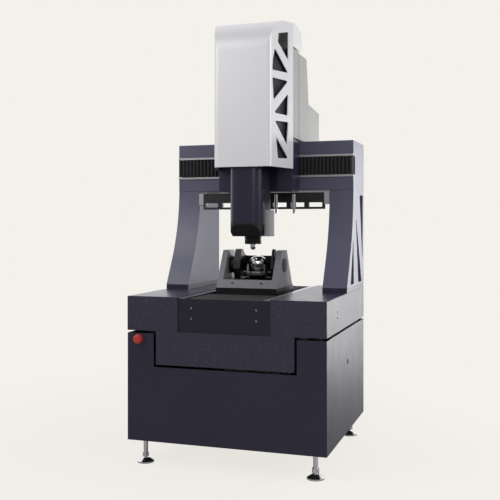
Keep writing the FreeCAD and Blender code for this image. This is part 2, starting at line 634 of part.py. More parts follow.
def column(label, sign):
    """A portal column that flares forwards to its foot, with lightening pockets in its outer face."""
    owner = body(label)
    outer, inner = HALF_WIDTH, COLUMN_INNER
    low, high = ("-" + outer, "-" + inner) if sign < 0 else (inner, outer)
    corners = [("-column_foot_front", COLUMN_BOTTOM), (HALF_DEPTH, COLUMN_BOTTOM), (HALF_DEPTH, "beam_bottom"),
               ("column_top_front", "beam_bottom"), ("column_knee_y", "column_knee_level")]
    pad(owner, "YZ", low, high, corners)
    knee = value("column_knee_y"), value("column_knee_level")
    rounded(owner, "column_knee_radius", edges(owner.Tip.Shape, "x", lambda spot: near(spot.y, knee[0]) and
                                               near(spot.z, knee[1])))
    if sign < 0:
        high = "-%s + pocket_depth" % outer
    else:
        low = "%s - pocket_depth" % outer
    for pocket_corners in COLUMN_POCKETS:
        spots = [("machine_depth / 2 - %s" % back, "%s + %s" % (COLUMN_BOTTOM, up))
                 for back, up in pocket_corners]
        pocket(owner, "YZ", low, high, spots)
        places = [(value(y), value(z)) for y, z in spots]
        rounded(owner, "pocket_round", edges(owner.Tip.Shape, "x", lambda spot: any(
            near(spot.y, y) and near(spot.z, z) for y, z in places)))
    finished(owner, label)


def portal():
    """Both columns with the plates under their feet, and the beam across them."""
    column("column_left", -1)
    column("column_right", 1)
    plate = box("column_foot_plate", (COLUMN_INNER, HALF_WIDTH), ("-column_foot_front", HALF_DEPTH),
                ("table_top", COLUMN_BOTTOM))
    finished(pair("column_foot_plates", plate), "column_foot_plates")
    owner = body("crossbeam")
    corners = [("beam_front", "beam_bottom"), (HALF_DEPTH, "beam_bottom"), (HALF_DEPTH, BEAM_TOP),
               ("beam_front", BEAM_TOP), ("beam_front", SLOT_TOP), (SLOT_FLOOR, SLOT_TOP),
               (SLOT_FLOOR, "slot_bottom"), ("beam_front", "slot_bottom")]
    pad(owner, "YZ", "-" + HALF_WIDTH, HALF_WIDTH, corners)
    top, bottom = value(BEAM_TOP), value("beam_bottom")
    rounded(owner, "beam_round", edges(owner.Tip.Shape, "x", lambda spot: near(spot.z, top) or
                                       near(spot.z, bottom)))
    finished(owner, "crossbeam")


def x_axis():
    """Rails and magnet track in the beam's slot, and the light strips along its edges."""
    reach = "(machine_width / 2 - rail_end_gap)"
    rails, blocks = [], []
    for end, level in (("low", "(slot_bottom + x_rail_inset)"), ("high", "(%s - x_rail_inset)" % SLOT_TOP)):
        def spot(across, height, level=level):
            return "%s - %s" % (SLOT_FLOOR, height), "%s + %s" % (level, across)
        rails.append(rail("x_rail_" + end, "YZ", "-" + reach, reach, "x", spot))
        blocks.append(runner_block("x_block_" + end, "YZ", "boss_width / 2 - x_block_length", "x",
                                   "x_block_height", spot))
    finished(group("x_rails", rails), "x_rails")
    finished(place(pair("x_runner_blocks", group("x_block_side", blocks)), "carriage_x"), "x_runner_blocks")
    middle = "(slot_bottom + slot_height / 2)"
    track = box("x_track", ("-" + reach, reach), (SLOT_FLOOR + " - track_thickness", SLOT_FLOOR),
                (middle + " - x_track_height / 2", middle + " + x_track_height / 2"))
    finished(track, "x_motor_track")
    bars = [box("bellows_strip_" + end, ("-" + HALF_WIDTH, HALF_WIDTH),
                ("beam_front - strip_bar_proud", "beam_front"), (low, low + " + strip_bar_height"))
            for end, low in (("low", "slot_bottom - strip_bar_height"), ("high", SLOT_TOP))]
    finished(group("bellows_strips", bars), "bellows_strips")


def tool_rack():
    """The ladder-like rack under the beam, its end brackets and the objectives parked in it."""
    owner = body("rack_frame")
    half = "(%s - bracket_width)" % COLUMN_INNER
    rear = "rack_front + rack_bar"
    pad(owner, "XZ", "rack_front", rear, rectangle(half, "rack_lower_level", "rack_top"))
    count = SIZES["rack_window_count"]
    for number in range(count):
        pitch = "(2 * %s / rack_window_count)" % half
        middle = "%s * %g" % (pitch, number - (count - 1) / 2)
        low = "%s - %s / 2 + rack_post / 2" % (middle, pitch)
        high = "%s + %s / 2 - rack_post / 2" % (middle, pitch)
        floor, roof = "rack_lower_level + rack_lower", "rack_top - rack_beam"
        window = [(low, floor), (high, floor), (high, roof), (low, roof)]
        pocket(owner, "XZ", "rack_front - 1", rear + " + 1", window)
    finished(owner, "rack_frame")
    bracket = box("rack_bracket", (half, COLUMN_INNER), ("rack_front", "rack_front + bracket_depth"),
                  ("rack_top - bracket_height", "rack_top"))
    finished(pair("rack_brackets", bracket), "rack_brackets")
    height = "(parked_top - parked_bottom)"
    tools = []
    for number in range(2):
        tool = revolved("parked_objective_%d" % number, [
            ("0", "0"), ("parked_tip_radius * 0.7", "0"), ("parked_tip_radius", "parked_tip * 0.3"),
            ("parked_tip_radius", "parked_tip"), ("parked_radius", "parked_tip"),
            ("parked_radius", height + " - parked_collar"), ("parked_radius - 1", height + " - parked_collar"),
            ("parked_radius - 1", height), ("0", height)])
        place(tool, "parked_first + %d * parked_pitch" % number, "rack_front - parked_radius - seat_gap",
              "parked_bottom")
        tools.append(tool)
    finished(group("rack_objectives", tools), "rack_objectives")


def half_width_at(y):
    """Half the hood's outer width at a place along Y, on its flared sides."""
    return "(hood_front_width / 2 + hood_flare * (hood_front + (%s)))" % y


HOOD_HALF = half_width_at("carriage_front")
HOOD_REAR = "(carriage_front - seat_gap)"


def hood_form(name, side, skin, radius):
    """A flared plan crossed with a side view: the hood's outer form, or with a skin the space inside it."""
    plan = body(name + "_plan")
    front, wide, rear = "(-hood_front + %s)" % skin, "(%s - %s)" % (HOOD_HALF, skin), "(hood_heel_y + 1)"
    narrow = "(%s - %s * sqrt(1 + hood_flare * hood_flare))" % (half_width_at(front), skin)
    corners = [("-" + narrow, front), (narrow, front), (wide, "carriage_front"), (wide, rear),
               ("-" + wide, rear), ("-" + wide, "carriage_front")]
    pad(plan, "XY", "hood_bottom - 2", HOOD_CROWN + " + 2", corners)
    place_y = value(front)
    rounded(plan, "hood_corner_radius - %s" % skin,
            edges(plan.Tip.Shape, "z", lambda spot: near(spot.y, place_y)))
    profile = body(name + "_side")
    pad(profile, "YZ", "-%s - 1" % HOOD_HALF, "%s + 1" % HOOD_HALF, side)
    for corner, rounding in ((side[1], radius), (side[3], "hood_heel_radius - %s" % skin)):
        spot_y, spot_z = value(corner[0]), value(corner[1])
        rounded(profile, rounding, edges(profile.Tip.Shape, "x", lambda spot: near(spot.y, spot_y) and
                                         near(spot.z, spot_z)))
    both = doc.addObject("Part::MultiCommon", name)
    both.Shapes = [plan, profile]
    return both


# Truss windows in the hood's sides: each corner is its share of the way from the front margin to the rear
# margin, and its share of the way from the hood's lower edge up to the nape.
HOOD_WINDOWS = (((0.38, 1.062), (0.34, 0.990), (1.0, 0.868), (1.0, 1.098)),
                ((0.16, 0.933), (0.03, 0.847), (0.0, 0.757), (1.0, 0.767)),
                ((0.0, 0.697), (1.0, 0.702), (0.08, 0.521)),
                ((1.0, 0.603), (0.1, 0.423), (0.95, 0.423)),
                ((0.15, 0.362), (1.0, 0.370), (0.92, 0.184)),
                ((0.22, 0.244), (0.34, 0.070), (1.0, 0.078)))


def hood_windows():
    """The prisms that cut the truss windows through both sides of the hood."""
    tools = []
    for number, window in enumerate(HOOD_WINDOWS):
        front, rear = "(-hood_front + window_front)", "(%s - window_rear)" % HOOD_REAR
        reach, height = "(%s - %s)" % (rear, front), "(hood_height - nape_drop)"
        spots = [("%s + %g * %s" % (front, share, reach), "hood_bottom + %g * %s" % (up, height))
                 for share, up in window]
        owner = body("hood_window_%d" % number)
        pad(owner, "YZ", "-%s - 1" % HOOD_HALF, "%s + 1" % HOOD_HALF, spots)
        rounded(owner, "window_round", edges(owner.Tip.Shape, "x"))
        tools.append(owner)
    return group("hood_windows", tools)


def hood():
    """The white head cover: a welded sheet shell with flared sides, a curved top and open trusses."""
    outer = [("-hood_front", "hood_bottom"), ("-hood_front", HOOD_SHOULDER), ("hood_crown_y", HOOD_CROWN),
             ("hood_heel_y", HOOD_HEEL), ("hood_heel_y", HOOD_LIP),
             ("hood_heel_y - 2 * (nape_drop - lip_drop)", HOOD_NAPE),
             (HOOD_REAR, HOOD_NAPE), (HOOD_REAR, "hood_bottom")]
    front, heel, floor = "-hood_front + hood_skin", "hood_heel_y - hood_skin", "hood_bottom - 1"
    inner = [(front, floor), (front, HOOD_SHOULDER + " - hood_skin"),
             ("hood_crown_y", HOOD_CROWN + " - hood_skin"), (heel, HOOD_HEEL + " - hood_skin"),
             (heel, HOOD_NAPE + " - 1"), (HOOD_REAR + " + 1", HOOD_NAPE + " - 1"), (HOOD_REAR + " + 1", floor)]
    solid = hood_form("hood_outer", outer, "0", "hood_brow_radius")
    space = hood_form("hood_inner", inner, "hood_skin", "hood_brow_radius - hood_skin")
    cover = cut("hood_open", cut("hood_shell", solid, space), hood_windows())
    finished(place(cover, "carriage_x"), "hood")


def u_plan(half, front, rear):
    """The plan of a piece with the quill's guide channel in its front."""
    guide = "(guide_width / 2)"
    return [("-" + half, front), ("-" + guide, front), ("-" + guide, "guide_floor"), (guide, "guide_floor"),
            (guide, front), (half, front), (half, rear), ("-" + half, rear)]


def carriage():
    """The X carriage's box with its boss into the beam's slot, and the head's core above it."""
    owner = body("carriage_box")
    pad(owner, "XY", "carriage_bottom", "carriage_top",
        u_plan("(carriage_width / 2)", "carriage_front", "carriage_rear"))
    pad(owner, "XZ", "carriage_rear", X_BLOCK_FRONT,
        rectangle("(boss_width / 2)", "slot_bottom + x_block_under", SLOT_TOP + " - x_block_under"))
    finished(place(owner, "carriage_x"), "carriage_box")
    finished(place(head_core(), "carriage_x"), "head_core")


def head_core():
    """The head's dark core: walls behind the hood's windows, the flange the hood seats on, and a back."""
    owner = body("head_core")
    half, guide = "(carriage_width / 2 - housing_skin - seat_gap)", "(guide_width / 2)"
    pad(owner, "XY", "carriage_top", CORE_TOP, u_plan(half, "carriage_front", "core_rear"))
    flange = "(%s - hood_skin / 2)" % HOOD_HALF
    front, rear = "-core_front", "carriage_front"
    near_half, far_half = "(%s - core_gap)" % half_width_at(front), "(%s - core_gap)" % half_width_at(rear)
    for sign in ("", "-"):
        wing = [(sign + guide, rear), (sign + flange, rear), (sign + flange, rear + " + core_flange"),
                (sign + guide, rear + " + core_flange")]
        pad(owner, "XY", "carriage_top", CORE_TOP, wing)
        wall = [(sign + guide, front), (sign + near_half, front), (sign + far_half, rear), (sign + guide, rear)]
        pad(owner, "XY", "core_bottom", CORE_TOP, wall)
    return owner


def housing_outline(skin, front, floor):
    """The rear housing's side view, or with a skin the view of the space inside it."""
    slope = "%s / 2" % skin
    top, step = "%s - %s" % (HOUSING_TOP, skin), "%s - housing_step - %s" % (HOUSING_TOP, skin)
    return [(front, floor), (front, top), ("housing_seam_y", top), ("housing_seam_y + housing_seam", step),
            ("housing_back_y - %s" % skin, step),
            ("housing_shoulder_y - %s" % skin, "housing_shoulder_level - %s" % slope),
            ("housing_tail_y - %s" % skin, "housing_tail_level - %s" % skin),
            ("housing_tail_y - %s" % skin, floor)]


def rear_housing():
    """The light cover behind the head: a sheet shell that steps down over the beam, with a seam round it."""
    floor, front = "(%s + housing_clearance)" % BEAM_TOP, "(carriage_front + core_flange + seat_gap)"
    half = "(carriage_width / 2)"
    outer = body("housing_outer")
    pad(outer, "YZ", "-" + half, half, housing_outline("0", front, floor))
    tail, tail_level = value("housing_tail_y"), value("housing_tail_level")
    back, back_level = value("housing_back_y"), value(HOUSING_TOP + " - housing_step")
    rounded(outer, "housing_round", edges(outer.Tip.Shape, "x", lambda spot: (
        near(spot.y, tail) and near(spot.z, tail_level)) or (near(spot.y, back) and near(spot.z, back_level))))
    for sign in ("", "-"):
        low, high = "(carriage_width / 2 - housing_skin / 2)", "(carriage_width / 2 + 1)"
        groove = [(sign + low, "housing_seam_y"), (sign + high, "housing_seam_y"),
                  (sign + high, "housing_seam_y + housing_seam"), (sign + low, "housing_seam_y + housing_seam")]
        pocket(outer, "XY", floor + " - 1", HOUSING_TOP + " + 1", groove)
    space = body("housing_inner")
    inner = "(carriage_width / 2 - housing_skin)"
    pad(space, "YZ", "-" + inner, inner, housing_outline("housing_skin", front + " - 1", floor + " - 1"))
    finished(place(cut("housing_shell", outer, space), "carriage_x"), "rear_housing")


def z_axis():
    """Rails in the head's guide channel, the screw with its belt drive, and the quill's runner blocks."""
    def spot(across, height):
        return "z_rail_pitch / 2 + %s" % across, "guide_floor - %s" % height
    z_rail = rail("z_rail", "XY", "z_rail_bottom", CORE_TOP + " - z_rail_drop", "z", spot)
    finished(place(pair("z_rails", z_rail), "carriage_x"), "z_rails")
    blocks = [runner_block("z_block_" + end, "XY", "z_block_" + end, "z", "(guide_floor - quill_rear)", spot)
              for end in ("low", "high")]
    finished(place(pair("z_runner_blocks", group("z_block_side", blocks)), "carriage_x"), "z_runner_blocks")
    middle, motor_y = "((guide_floor + quill_rear) / 2)", "(core_rear + motor_radius + seat_gap)"
    screw = cylinder("z_screw", "screw_shaft_radius", CORE_TOP + " - z_rail_bottom", "0", middle,
                     "z_rail_bottom")
    motor = cylinder("z_motor", "motor_radius", "motor_height", "0", motor_y, CORE_TOP + " - motor_height")
    reach = "(motor_radius + belt_box_edge)"
    belt_box = box("z_belt_box", ("-" + reach, reach), ("carriage_front", "%s + %s" % (motor_y, reach)),
                   (CORE_TOP, CORE_TOP + " + belt_box_height"))
    finished(place(fuse("z_drive_parts", [screw, motor, belt_box]), "carriage_x"), "z_drive")


def quill_form(name, inset, rear, low, high):
    """A prism on the quill's plan, with its two front corners rounded."""
    owner = body(name)
    half, front = "(quill_width / 2 - %s)" % inset, "(-quill_front + %s)" % inset
    pad(owner, "XY", low, high, rectangle(half, front, rear))
    place_y = value(front)
    rounded(owner, "quill_corner - %s" % inset,
            edges(owner.Tip.Shape, "z", lambda spot: near(spot.y, place_y)))
    return owner


def seam_cut(owner, keep_above):
    """Cut a piece of the quill along the slanting seam between its cover and its cap."""
    front, rear = "(-quill_front - 1)", "(quill_rear + 1)"
    front_level = "(seam_level + seam_slope)"
    rear_level = "(seam_level - seam_slope * (quill_front + quill_rear + 1))"
    if keep_above:
        far = "(quill_bottom - 1)"
    else:
        far = "(seam_level + 20)"
    corners = [(front, front_level), (rear, rear_level), (rear, far), (front, far)]
    pocket(owner, "YZ", "-quill_width", "quill_width", corners)


def quill():
    """The quill: a dark column, its painted front cover and the chamfered cap at its foot."""
    column_inset = "(quill_skin + seat_gap)"
    core = quill_form("quill_core", column_inset, "quill_rear", "quill_bottom", "quill_top")
    seam_cut(core, True)
    nut_y = "((guide_floor + quill_rear) / 2)"
    nut = box("quill_nut", ("-nut_radius", "nut_radius"), ("quill_rear", "guide_floor - z_block_under"),
              ("nut_level", "nut_level + nut_length"))
    bore = cylinder("quill_nut_bore", "screw_shaft_radius + seat_gap", "nut_length + 2", "0", nut_y,
                    "nut_level - 1")
    column_piece = cut("quill_with_nut", fuse("quill_core_and_nut", [core, nut]), bore)
    finished(place(column_piece, "carriage_x"), "quill_column")
    rear = "(-quill_front + quill_cover_depth)"
    outer = quill_form("cover_outer", "0", rear, "quill_bottom", "quill_top")
    seam_cut(outer, True)
    inner = quill_form("cover_inner", "quill_skin", rear + " + 1", "quill_bottom - 1", "quill_top + 1")
    finished(place(cut("cover_shell", outer, inner), "carriage_x"), "quill_cover")
    cap = quill_form("quill_cap", "0", "quill_rear", "quill_bottom", "seam_level + 10")
    seam_cut(cap, False)
    front, foot = "-quill_front", "(quill_bottom - 1)"
    chin = [(front + " - 1", "chin_level"), (front, "chin_level"), (front + " + chin_depth", "quill_bottom"),
            (front + " + chin_depth", foot), (front + " - 1", foot)]
    pocket(cap, "YZ", "-quill_width", "quill_width", chin)
    for sign in ("", "-"):
        side, far = sign + "(quill_width / 2)", sign + "(quill_width / 2 + 1)"
        low = sign + "(quill_width / 2 - cheek_inset)"
        wedge = [(far, "cheek_level"), (side, "cheek_level"), (low, "quill_bottom"), (low, foot), (far, foot)]
        pocket(cap, "XZ", front + " - 1", "quill_rear + 1", wedge)
    finished(place(cap, "carriage_x"), "quill_cap")


def optics():
    """The nose ring, the objective on the optical axis and the ribbed camera at the quill's side."""
    nose = revolved("nose_ring", [("0", "0"), ("nose_radius - nose_edge", "0"), ("nose_radius", "nose_edge"),
                                  ("nose_radius", "nose_height * 0.5"),
                                  ("nose_radius - 2", "nose_height * 0.5"),
                                  ("nose_radius - 2", "nose_height * 0.6"),
                                  ("nose_radius", "nose_height * 0.6"),
                                  ("nose_radius", "nose_height"), ("0", "nose_height")])
    finished(place(nose, "carriage_x", "-optic_y", NOSE_BOTTOM), "nose_ring")
    tip = "objective_tip_radius"
    lens = revolved("objective", [("0", "1.5"), (tip + " - 2", "1.5"), (tip + " - 1", "0"), (tip, "0"),
                                  ("objective_radius", "objective_height * 0.45"),
                                  ("objective_radius", "objective_height"), ("0", "objective_height")])
    finished(place(lens, "carriage_x", "-optic_y", NOSE_BOTTOM + " - objective_height"), "objective")
    camera = body("side_camera")
    low, width = "(quill_width / 2 + seat_gap)", "camera_width"
    pad(camera, "XY", "quill_bottom", "camera_top", [
        (low, "-camera_front + fin_depth"), (low + " + %s * 0.4" % width, "-camera_front + fin_depth"),
        (low + " + %s * 0.4" % width, "-camera_front"), (low + " + %s * 0.65" % width, "-camera_front"),
        (low + " + %s * 0.65" % width, "-camera_front + fin_depth / 2"),
        (low + " + " + width, "-camera_front + fin_depth / 2"), (low + " + " + width, "-camera_rear"),
        (low, "-camera_rear")])
    for number in range(SIZES["fin_count"]):
        level = "camera_top - %d * fin_pitch" % (number + 1)
        pad(camera, "XY", level, level + " + fin_pitch - fin_gap", [
            (low, "-camera_front"), (low + " + %s * 0.4" % width, "-camera_front"),
            (low + " + %s * 0.4" % width, "-camera_front + fin_depth"), (low, "-camera_front + fin_depth")])
    finished(place(camera, "carriage_x"), "side_camera")


def cheek():
    """One side plate of the tilt table, with the trunnion's bore and the recess of its cap."""
    owner = body("cheek")
    inner, outer = "(cheek_width / 2 - cheek_thickness)", "(cheek_width / 2)"
    corners = [("-cheek_foot_front", STAGE_TOP), ("cheek_foot_rear", STAGE_TOP),
               ("cheek_head_rear", "cheek_top"), ("-cheek_head_front", "cheek_top")]
    pad(owner, "YZ", inner, outer, corners)
    top = value("cheek_top")
    rounded(owner, "cheek_round", edges(owner.Tip.Shape, "x", lambda spot: near(spot.z, top)))
    pocket(owner, "YZ", inner + " - 1", outer + " + 1",
           rounds=[("tilt_y", "tilt_level", "trunnion_radius + running_gap")])
    recess = [("tilt_y", "tilt_level", "hub_radius + seat_gap")]
    pocket(owner, "YZ", outer + " - hub_proud", outer + " + 1", rounds=recess)
    return owner


def drum(name, low, high, sign):
    """A trunnion drum between a cheek and an arm of the cradle, bored for the shaft."""
    owner = body(name)
    low, high = mirrored_span(low, high, sign)
    pad(owner, "YZ", low, high, rounds=[("tilt_y", "tilt_level", "drum_radius")])
    pocket(owner, "YZ", low + " - 1", high + " + 1",
           rounds=[("tilt_y", "tilt_level", "trunnion_radius + running_gap")])
    return owner


def tilt_frame():
    """The stage plate, cheeks, crossbars and trunnion drums that the Y carriage carries."""
    half = "(stage_width / 2)"
    stage = body("stage_plate")
    pad(stage, "XY", "table_top", STAGE_TOP, rectangle(half, "-stage_front", "stage_rear"))
    edge = value(half)
    rounded(stage, "table_round", edges(stage.Tip.Shape, "z", lambda spot: near(abs(spot.x), edge)))
    finished(stage, "stage_plate")
    finished(pair("cheeks", cheek()), "cheeks")
    inner = "(cheek_width / 2 - cheek_thickness)"
    rise = "(%s + crossbar_height)" % STAGE_TOP
    lean = "crossbar_height * (cheek_foot_front - cheek_head_front) / (cheek_top - %s)" % STAGE_TOP
    bars = []
    for name, foot, sign in (("front", "-cheek_foot_front", "+"), ("rear", "cheek_foot_rear", "-")):
        bar = body("crossbar_" + name)
        far = "%s %s crossbar_depth" % (foot, sign)
        top, far_top = "%s %s %s" % (foot, sign, lean), "%s %s %s" % (far, sign, lean)
        pad(bar, "YZ", "-" + inner, inner, [(foot, STAGE_TOP), (top, rise), (far_top, rise), (far, STAGE_TOP)])
        bars.append(bar)
    finished(group("crossbars", bars), "crossbars")
    screw = cylinder("crossbar_screw", "screw_radius", "screw_height", "crossbar_screw_x",
                     "-cheek_foot_front + %s * 0.6" % lean, "%s + crossbar_height * 0.6" % STAGE_TOP)
    slope = math.degrees(math.atan2(value("crossbar_height"), value(lean)))
    screw.Placement.Rotation = FreeCAD.Rotation(Vector(1, 0, 0), slope)
    finished(pair("tilt_unit_screws", screw), "tilt_unit_screws")
    left = drum("drum_left", ARM_LEFT_FACE + " + arm_left + seat_gap", inner, -1)
    right = drum("drum_right", ARM_RIGHT_FACE + " + arm_right + seat_gap", inner, 1)
    cap = cylinder("trunnion_cap", "hub_radius", "2 * hub_proud", "cheek_width / 2 - hub_proud", "tilt_y",
                   "tilt_level", "X")
    finished(group("trunnion_drums", [left, right, pair("trunnion_caps", cap)]), "trunnion_drums")


# The side view of the cradle's arms about the tilt axis: each corner is a share of the arm's reach.
ARM_CORNERS = ((-0.4, -0.85), (0.4, -0.85), (0.72, -0.45), (0.83, -0.2), (0.83, 0.55), (0.45, 0.62),
               (-0.02, 0.98), (-0.24, 0.95), (-0.5, 0.3), (-0.62, -0.2))


def cradle():
    """The tilting cradle: two arms with ears on trunnion shafts, the spindle house and the back plate."""
    owner = body("cradle")
    spots = [("tilt_y + %g * arm_reach" % y, "tilt_level + %g * arm_reach" % z) for y, z in ARM_CORNERS]
    pad(owner, "YZ", "-%s - arm_left" % ARM_LEFT_FACE, "-" + ARM_LEFT_FACE, spots)
    back = [("-%s - 1" % ARM_LEFT_FACE, "tilt_y + back_plate_y"),
            (ARM_RIGHT_FACE + " + 1", "tilt_y + back_plate_y"),
            (ARM_RIGHT_FACE + " + 1", "tilt_y + back_plate_y + back_plate"),
            ("-%s - 1" % ARM_LEFT_FACE, "tilt_y + back_plate_y + back_plate")]
    pad(owner, "XY", "faceplate_top + seat_gap * 2", "back_plate_top", back)
    pad(owner, "YZ", ARM_RIGHT_FACE, ARM_RIGHT_FACE + " + arm_right", spots)
    shaft = [("tilt_y", "tilt_level", "trunnion_radius")]
    reach = "cheek_width / 2 - hub_proud - seat_gap"
    pad(owner, "YZ", "-(%s)" % reach, "-%s - 1" % ARM_LEFT_FACE, rounds=shaft)
    pad(owner, "YZ", ARM_RIGHT_FACE + " + 1", reach, rounds=shaft)
    roof = "(faceplate_top - faceplate_thickness - seat_gap)"
    low, high = "-%s - 1" % ARM_LEFT_FACE, ARM_RIGHT_FACE + " + 1"
    web = [(low, "tilt_y - arm_reach * 0.3"), (high, "tilt_y - arm_reach * 0.3"),
           (high, "tilt_y + arm_reach * 0.3"), (low, "tilt_y + arm_reach * 0.3")]
    pad(owner, "XY", roof + " - back_plate", roof, web)
    house = doc.addObject("Part::Cone", "spindle_house")
    bind(house, Radius1="spindle_house_foot", Radius2="spindle_house_radius",
         Height=roof + " - spindle_house_bottom")
    place(house, "rotary_x", "tilt_y", "spindle_house_bottom")
    finished(fuse("cradle_parts", [owner, house]), "cradle")


def faceted_ball():
    """A closed solid of flat facets between rings of corners, cut flat where it stands in the chuck."""
    radius, sides = value("ball_radius"), SIZES["ball_side_count"]
    floor = value("faceplate_top + chuck_height - tilt_level")
    levels = [floor, -0.3 * radius, 0.15 * radius, 0.55 * radius, 0.85 * radius]
    rings = []
    for number, level in enumerate(levels):
        reach, turn = math.sqrt(radius ** 2 - level ** 2), number * math.pi / sides
        rings.append([Vector(reach * math.cos(turn + 2 * math.pi * side / sides),
                             reach * math.sin(turn + 2 * math.pi * side / sides), level)
                      for side in range(sides)])
    crown = Vector(0, 0, radius * 0.97)
    facets = [rings[0]]
    for low, high in zip(rings, rings[1:]):
        for side in range(sides):
            after = (side + 1) % sides
            facets += [[low[side], low[after], high[side]], [high[side], low[after], high[after]]]
    facets += [[rings[-1][side], rings[-1][(side + 1) % sides], crown] for side in range(sides)]
    faces = [Part.Face(Part.makePolygon(facet + [facet[0]])) for facet in facets]
    return Part.makeSolid(Part.makeShell(faces))


def rotary():
    """The rotary spindle: faceplate, chuck with its jaws and the faceted sample clamped in them."""
    plate = revolved("faceplate", [("0", "0"), ("faceplate_radius - faceplate_edge", "0"),
                                   ("faceplate_radius", "faceplate_edge"),
                                   ("faceplate_radius", "faceplate_thickness"), ("0", "faceplate_thickness")])
    finished(place(plate, "rotary_x", "tilt_y", "faceplate_top - faceplate_thickness"), "faceplate")
    base = cylinder("chuck_base", "chuck_radius", "chuck_height", "rotary_x", "tilt_y", "faceplate_top")
    jaws = [base]
    for number in range(SIZES["jaw_count"]):
        jaw = body("jaw_%d" % number)
        inner = "(ball_radius + seat_gap)"
        outer = inner + " + jaw_depth"
        corners = [("chuck_radius + seat_gap", "0"), (outer, "0"), (outer, "jaw_height * 0.6"),
                   (inner + " + jaw_depth / 2", "jaw_height"), (inner, "jaw_height"), (inner, "chuck_height"),
                   ("chuck_radius + seat_gap", "chuck_height")]
        pad(jaw, "XZ", "-jaw_width / 2", "jaw_width / 2", corners)
        jaw.Placement.Rotation = FreeCAD.Rotation(Vector(0, 0, 1), 90 + 360.0 * number / SIZES["jaw_count"])
        jaws.append(place(jaw, "rotary_x", "tilt_y", "faceplate_top"))
    finished(group("chuck_jaws", jaws), "chuck_jaws")
    sample = doc.addObject("Part::Feature", "workpiece")
    sample.Shape = faceted_ball()
    sample.Placement.Base = Vector(value("rotary_x"), value("tilt_y"), value("tilt_level"))
    finished(sample, "workpiece")


def check_and_write():
    """Refuse a failed object or an invalid shape, then write each sub-part to its own file."""
    doc.recompute()
    for item in doc.Objects:
        if {"Invalid", "Error"} & set(item.State):
            raise RuntimeError("%s failed: %s" % (item.Label, item.State))
    for item in SUB_PARTS:
        if item.Shape.isNull() or not item.Shape.isValid() or not item.Shape.Solids:
            raise RuntimeError("%s has no valid solid" % item.Label)
    os.makedirs("parts", exist_ok=True)
    for item in SUB_PARTS:
        item.Shape.exportStep("parts/%s.step" % item.Label)
    print("%d sub-parts written" % len(SUB_PARTS))


fill_sheet()
feet()
stand_frame()
shell("front_shell", True)
shell("rear_shell", False)
side_panel("side_panel_left", -1)
side_panel("side_panel_right", 1)
panel_lock("panel_lock_left", -1)
panel_lock("panel_lock_right", 1)
floor_tray()
isolators()
controller_unit()
estop()
granite_table()
channel_covers()
y_axis()
way_covers()
portal()
x_axis()
tool_rack()
hood()
carriage()
rear_housing()
z_axis()
quill()
optics()
tilt_frame()
cradle()
rotary()
check_and_write()
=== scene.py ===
"""Looks of a gantry coordinate measuring machine with an optical head and a tilt and rotary table.

Everything is in metres, in the machine's own frame: X to the right, Y to the back, Z up, floor at 0.
"""

import logging
import math
from dataclasses import dataclass, field
from enum import Enum
from typing import Sequence

import bmesh
import bpy
from mathutils import Matrix, Vector


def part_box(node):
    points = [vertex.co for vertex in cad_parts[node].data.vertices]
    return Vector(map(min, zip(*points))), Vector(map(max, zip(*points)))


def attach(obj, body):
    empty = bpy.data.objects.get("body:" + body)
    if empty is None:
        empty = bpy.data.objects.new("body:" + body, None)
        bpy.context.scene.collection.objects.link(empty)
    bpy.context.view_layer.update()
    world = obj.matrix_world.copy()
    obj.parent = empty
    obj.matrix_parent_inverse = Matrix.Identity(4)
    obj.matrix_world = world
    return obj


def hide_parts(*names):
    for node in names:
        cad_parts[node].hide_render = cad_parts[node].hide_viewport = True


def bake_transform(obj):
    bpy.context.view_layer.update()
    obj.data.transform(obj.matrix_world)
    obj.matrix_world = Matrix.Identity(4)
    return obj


log = logging.getLogger("measuring_machine")
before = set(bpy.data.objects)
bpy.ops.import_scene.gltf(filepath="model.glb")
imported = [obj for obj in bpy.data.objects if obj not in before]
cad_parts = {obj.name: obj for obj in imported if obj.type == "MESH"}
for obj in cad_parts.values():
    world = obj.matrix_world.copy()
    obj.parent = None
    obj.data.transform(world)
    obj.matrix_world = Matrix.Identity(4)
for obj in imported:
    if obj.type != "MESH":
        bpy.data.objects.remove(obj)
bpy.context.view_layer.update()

Colour = tuple[float, float, float]
Point = tuple[float, float, float]
MM = 0.001


def tone(red: int, green: int, blue: int) -> Colour:
    """Turn a screen colour of 0 to 255 into linear light.

    Args:
        red, green, blue: The colour's parts, as a screen shows them.

    Returns:
        The same colour as linear parts from 0 to 1.
    """
    def linear(part: int) -> float:
        """One part in linear light."""
        share = part / 255
        return share / 12.92 if share <= 0.04045 else ((share + 0.055) / 1.055) ** 2.4

    return linear(red), linear(green), linear(blue)


# ---------------------------------------------------------------------------------------------- node graphs


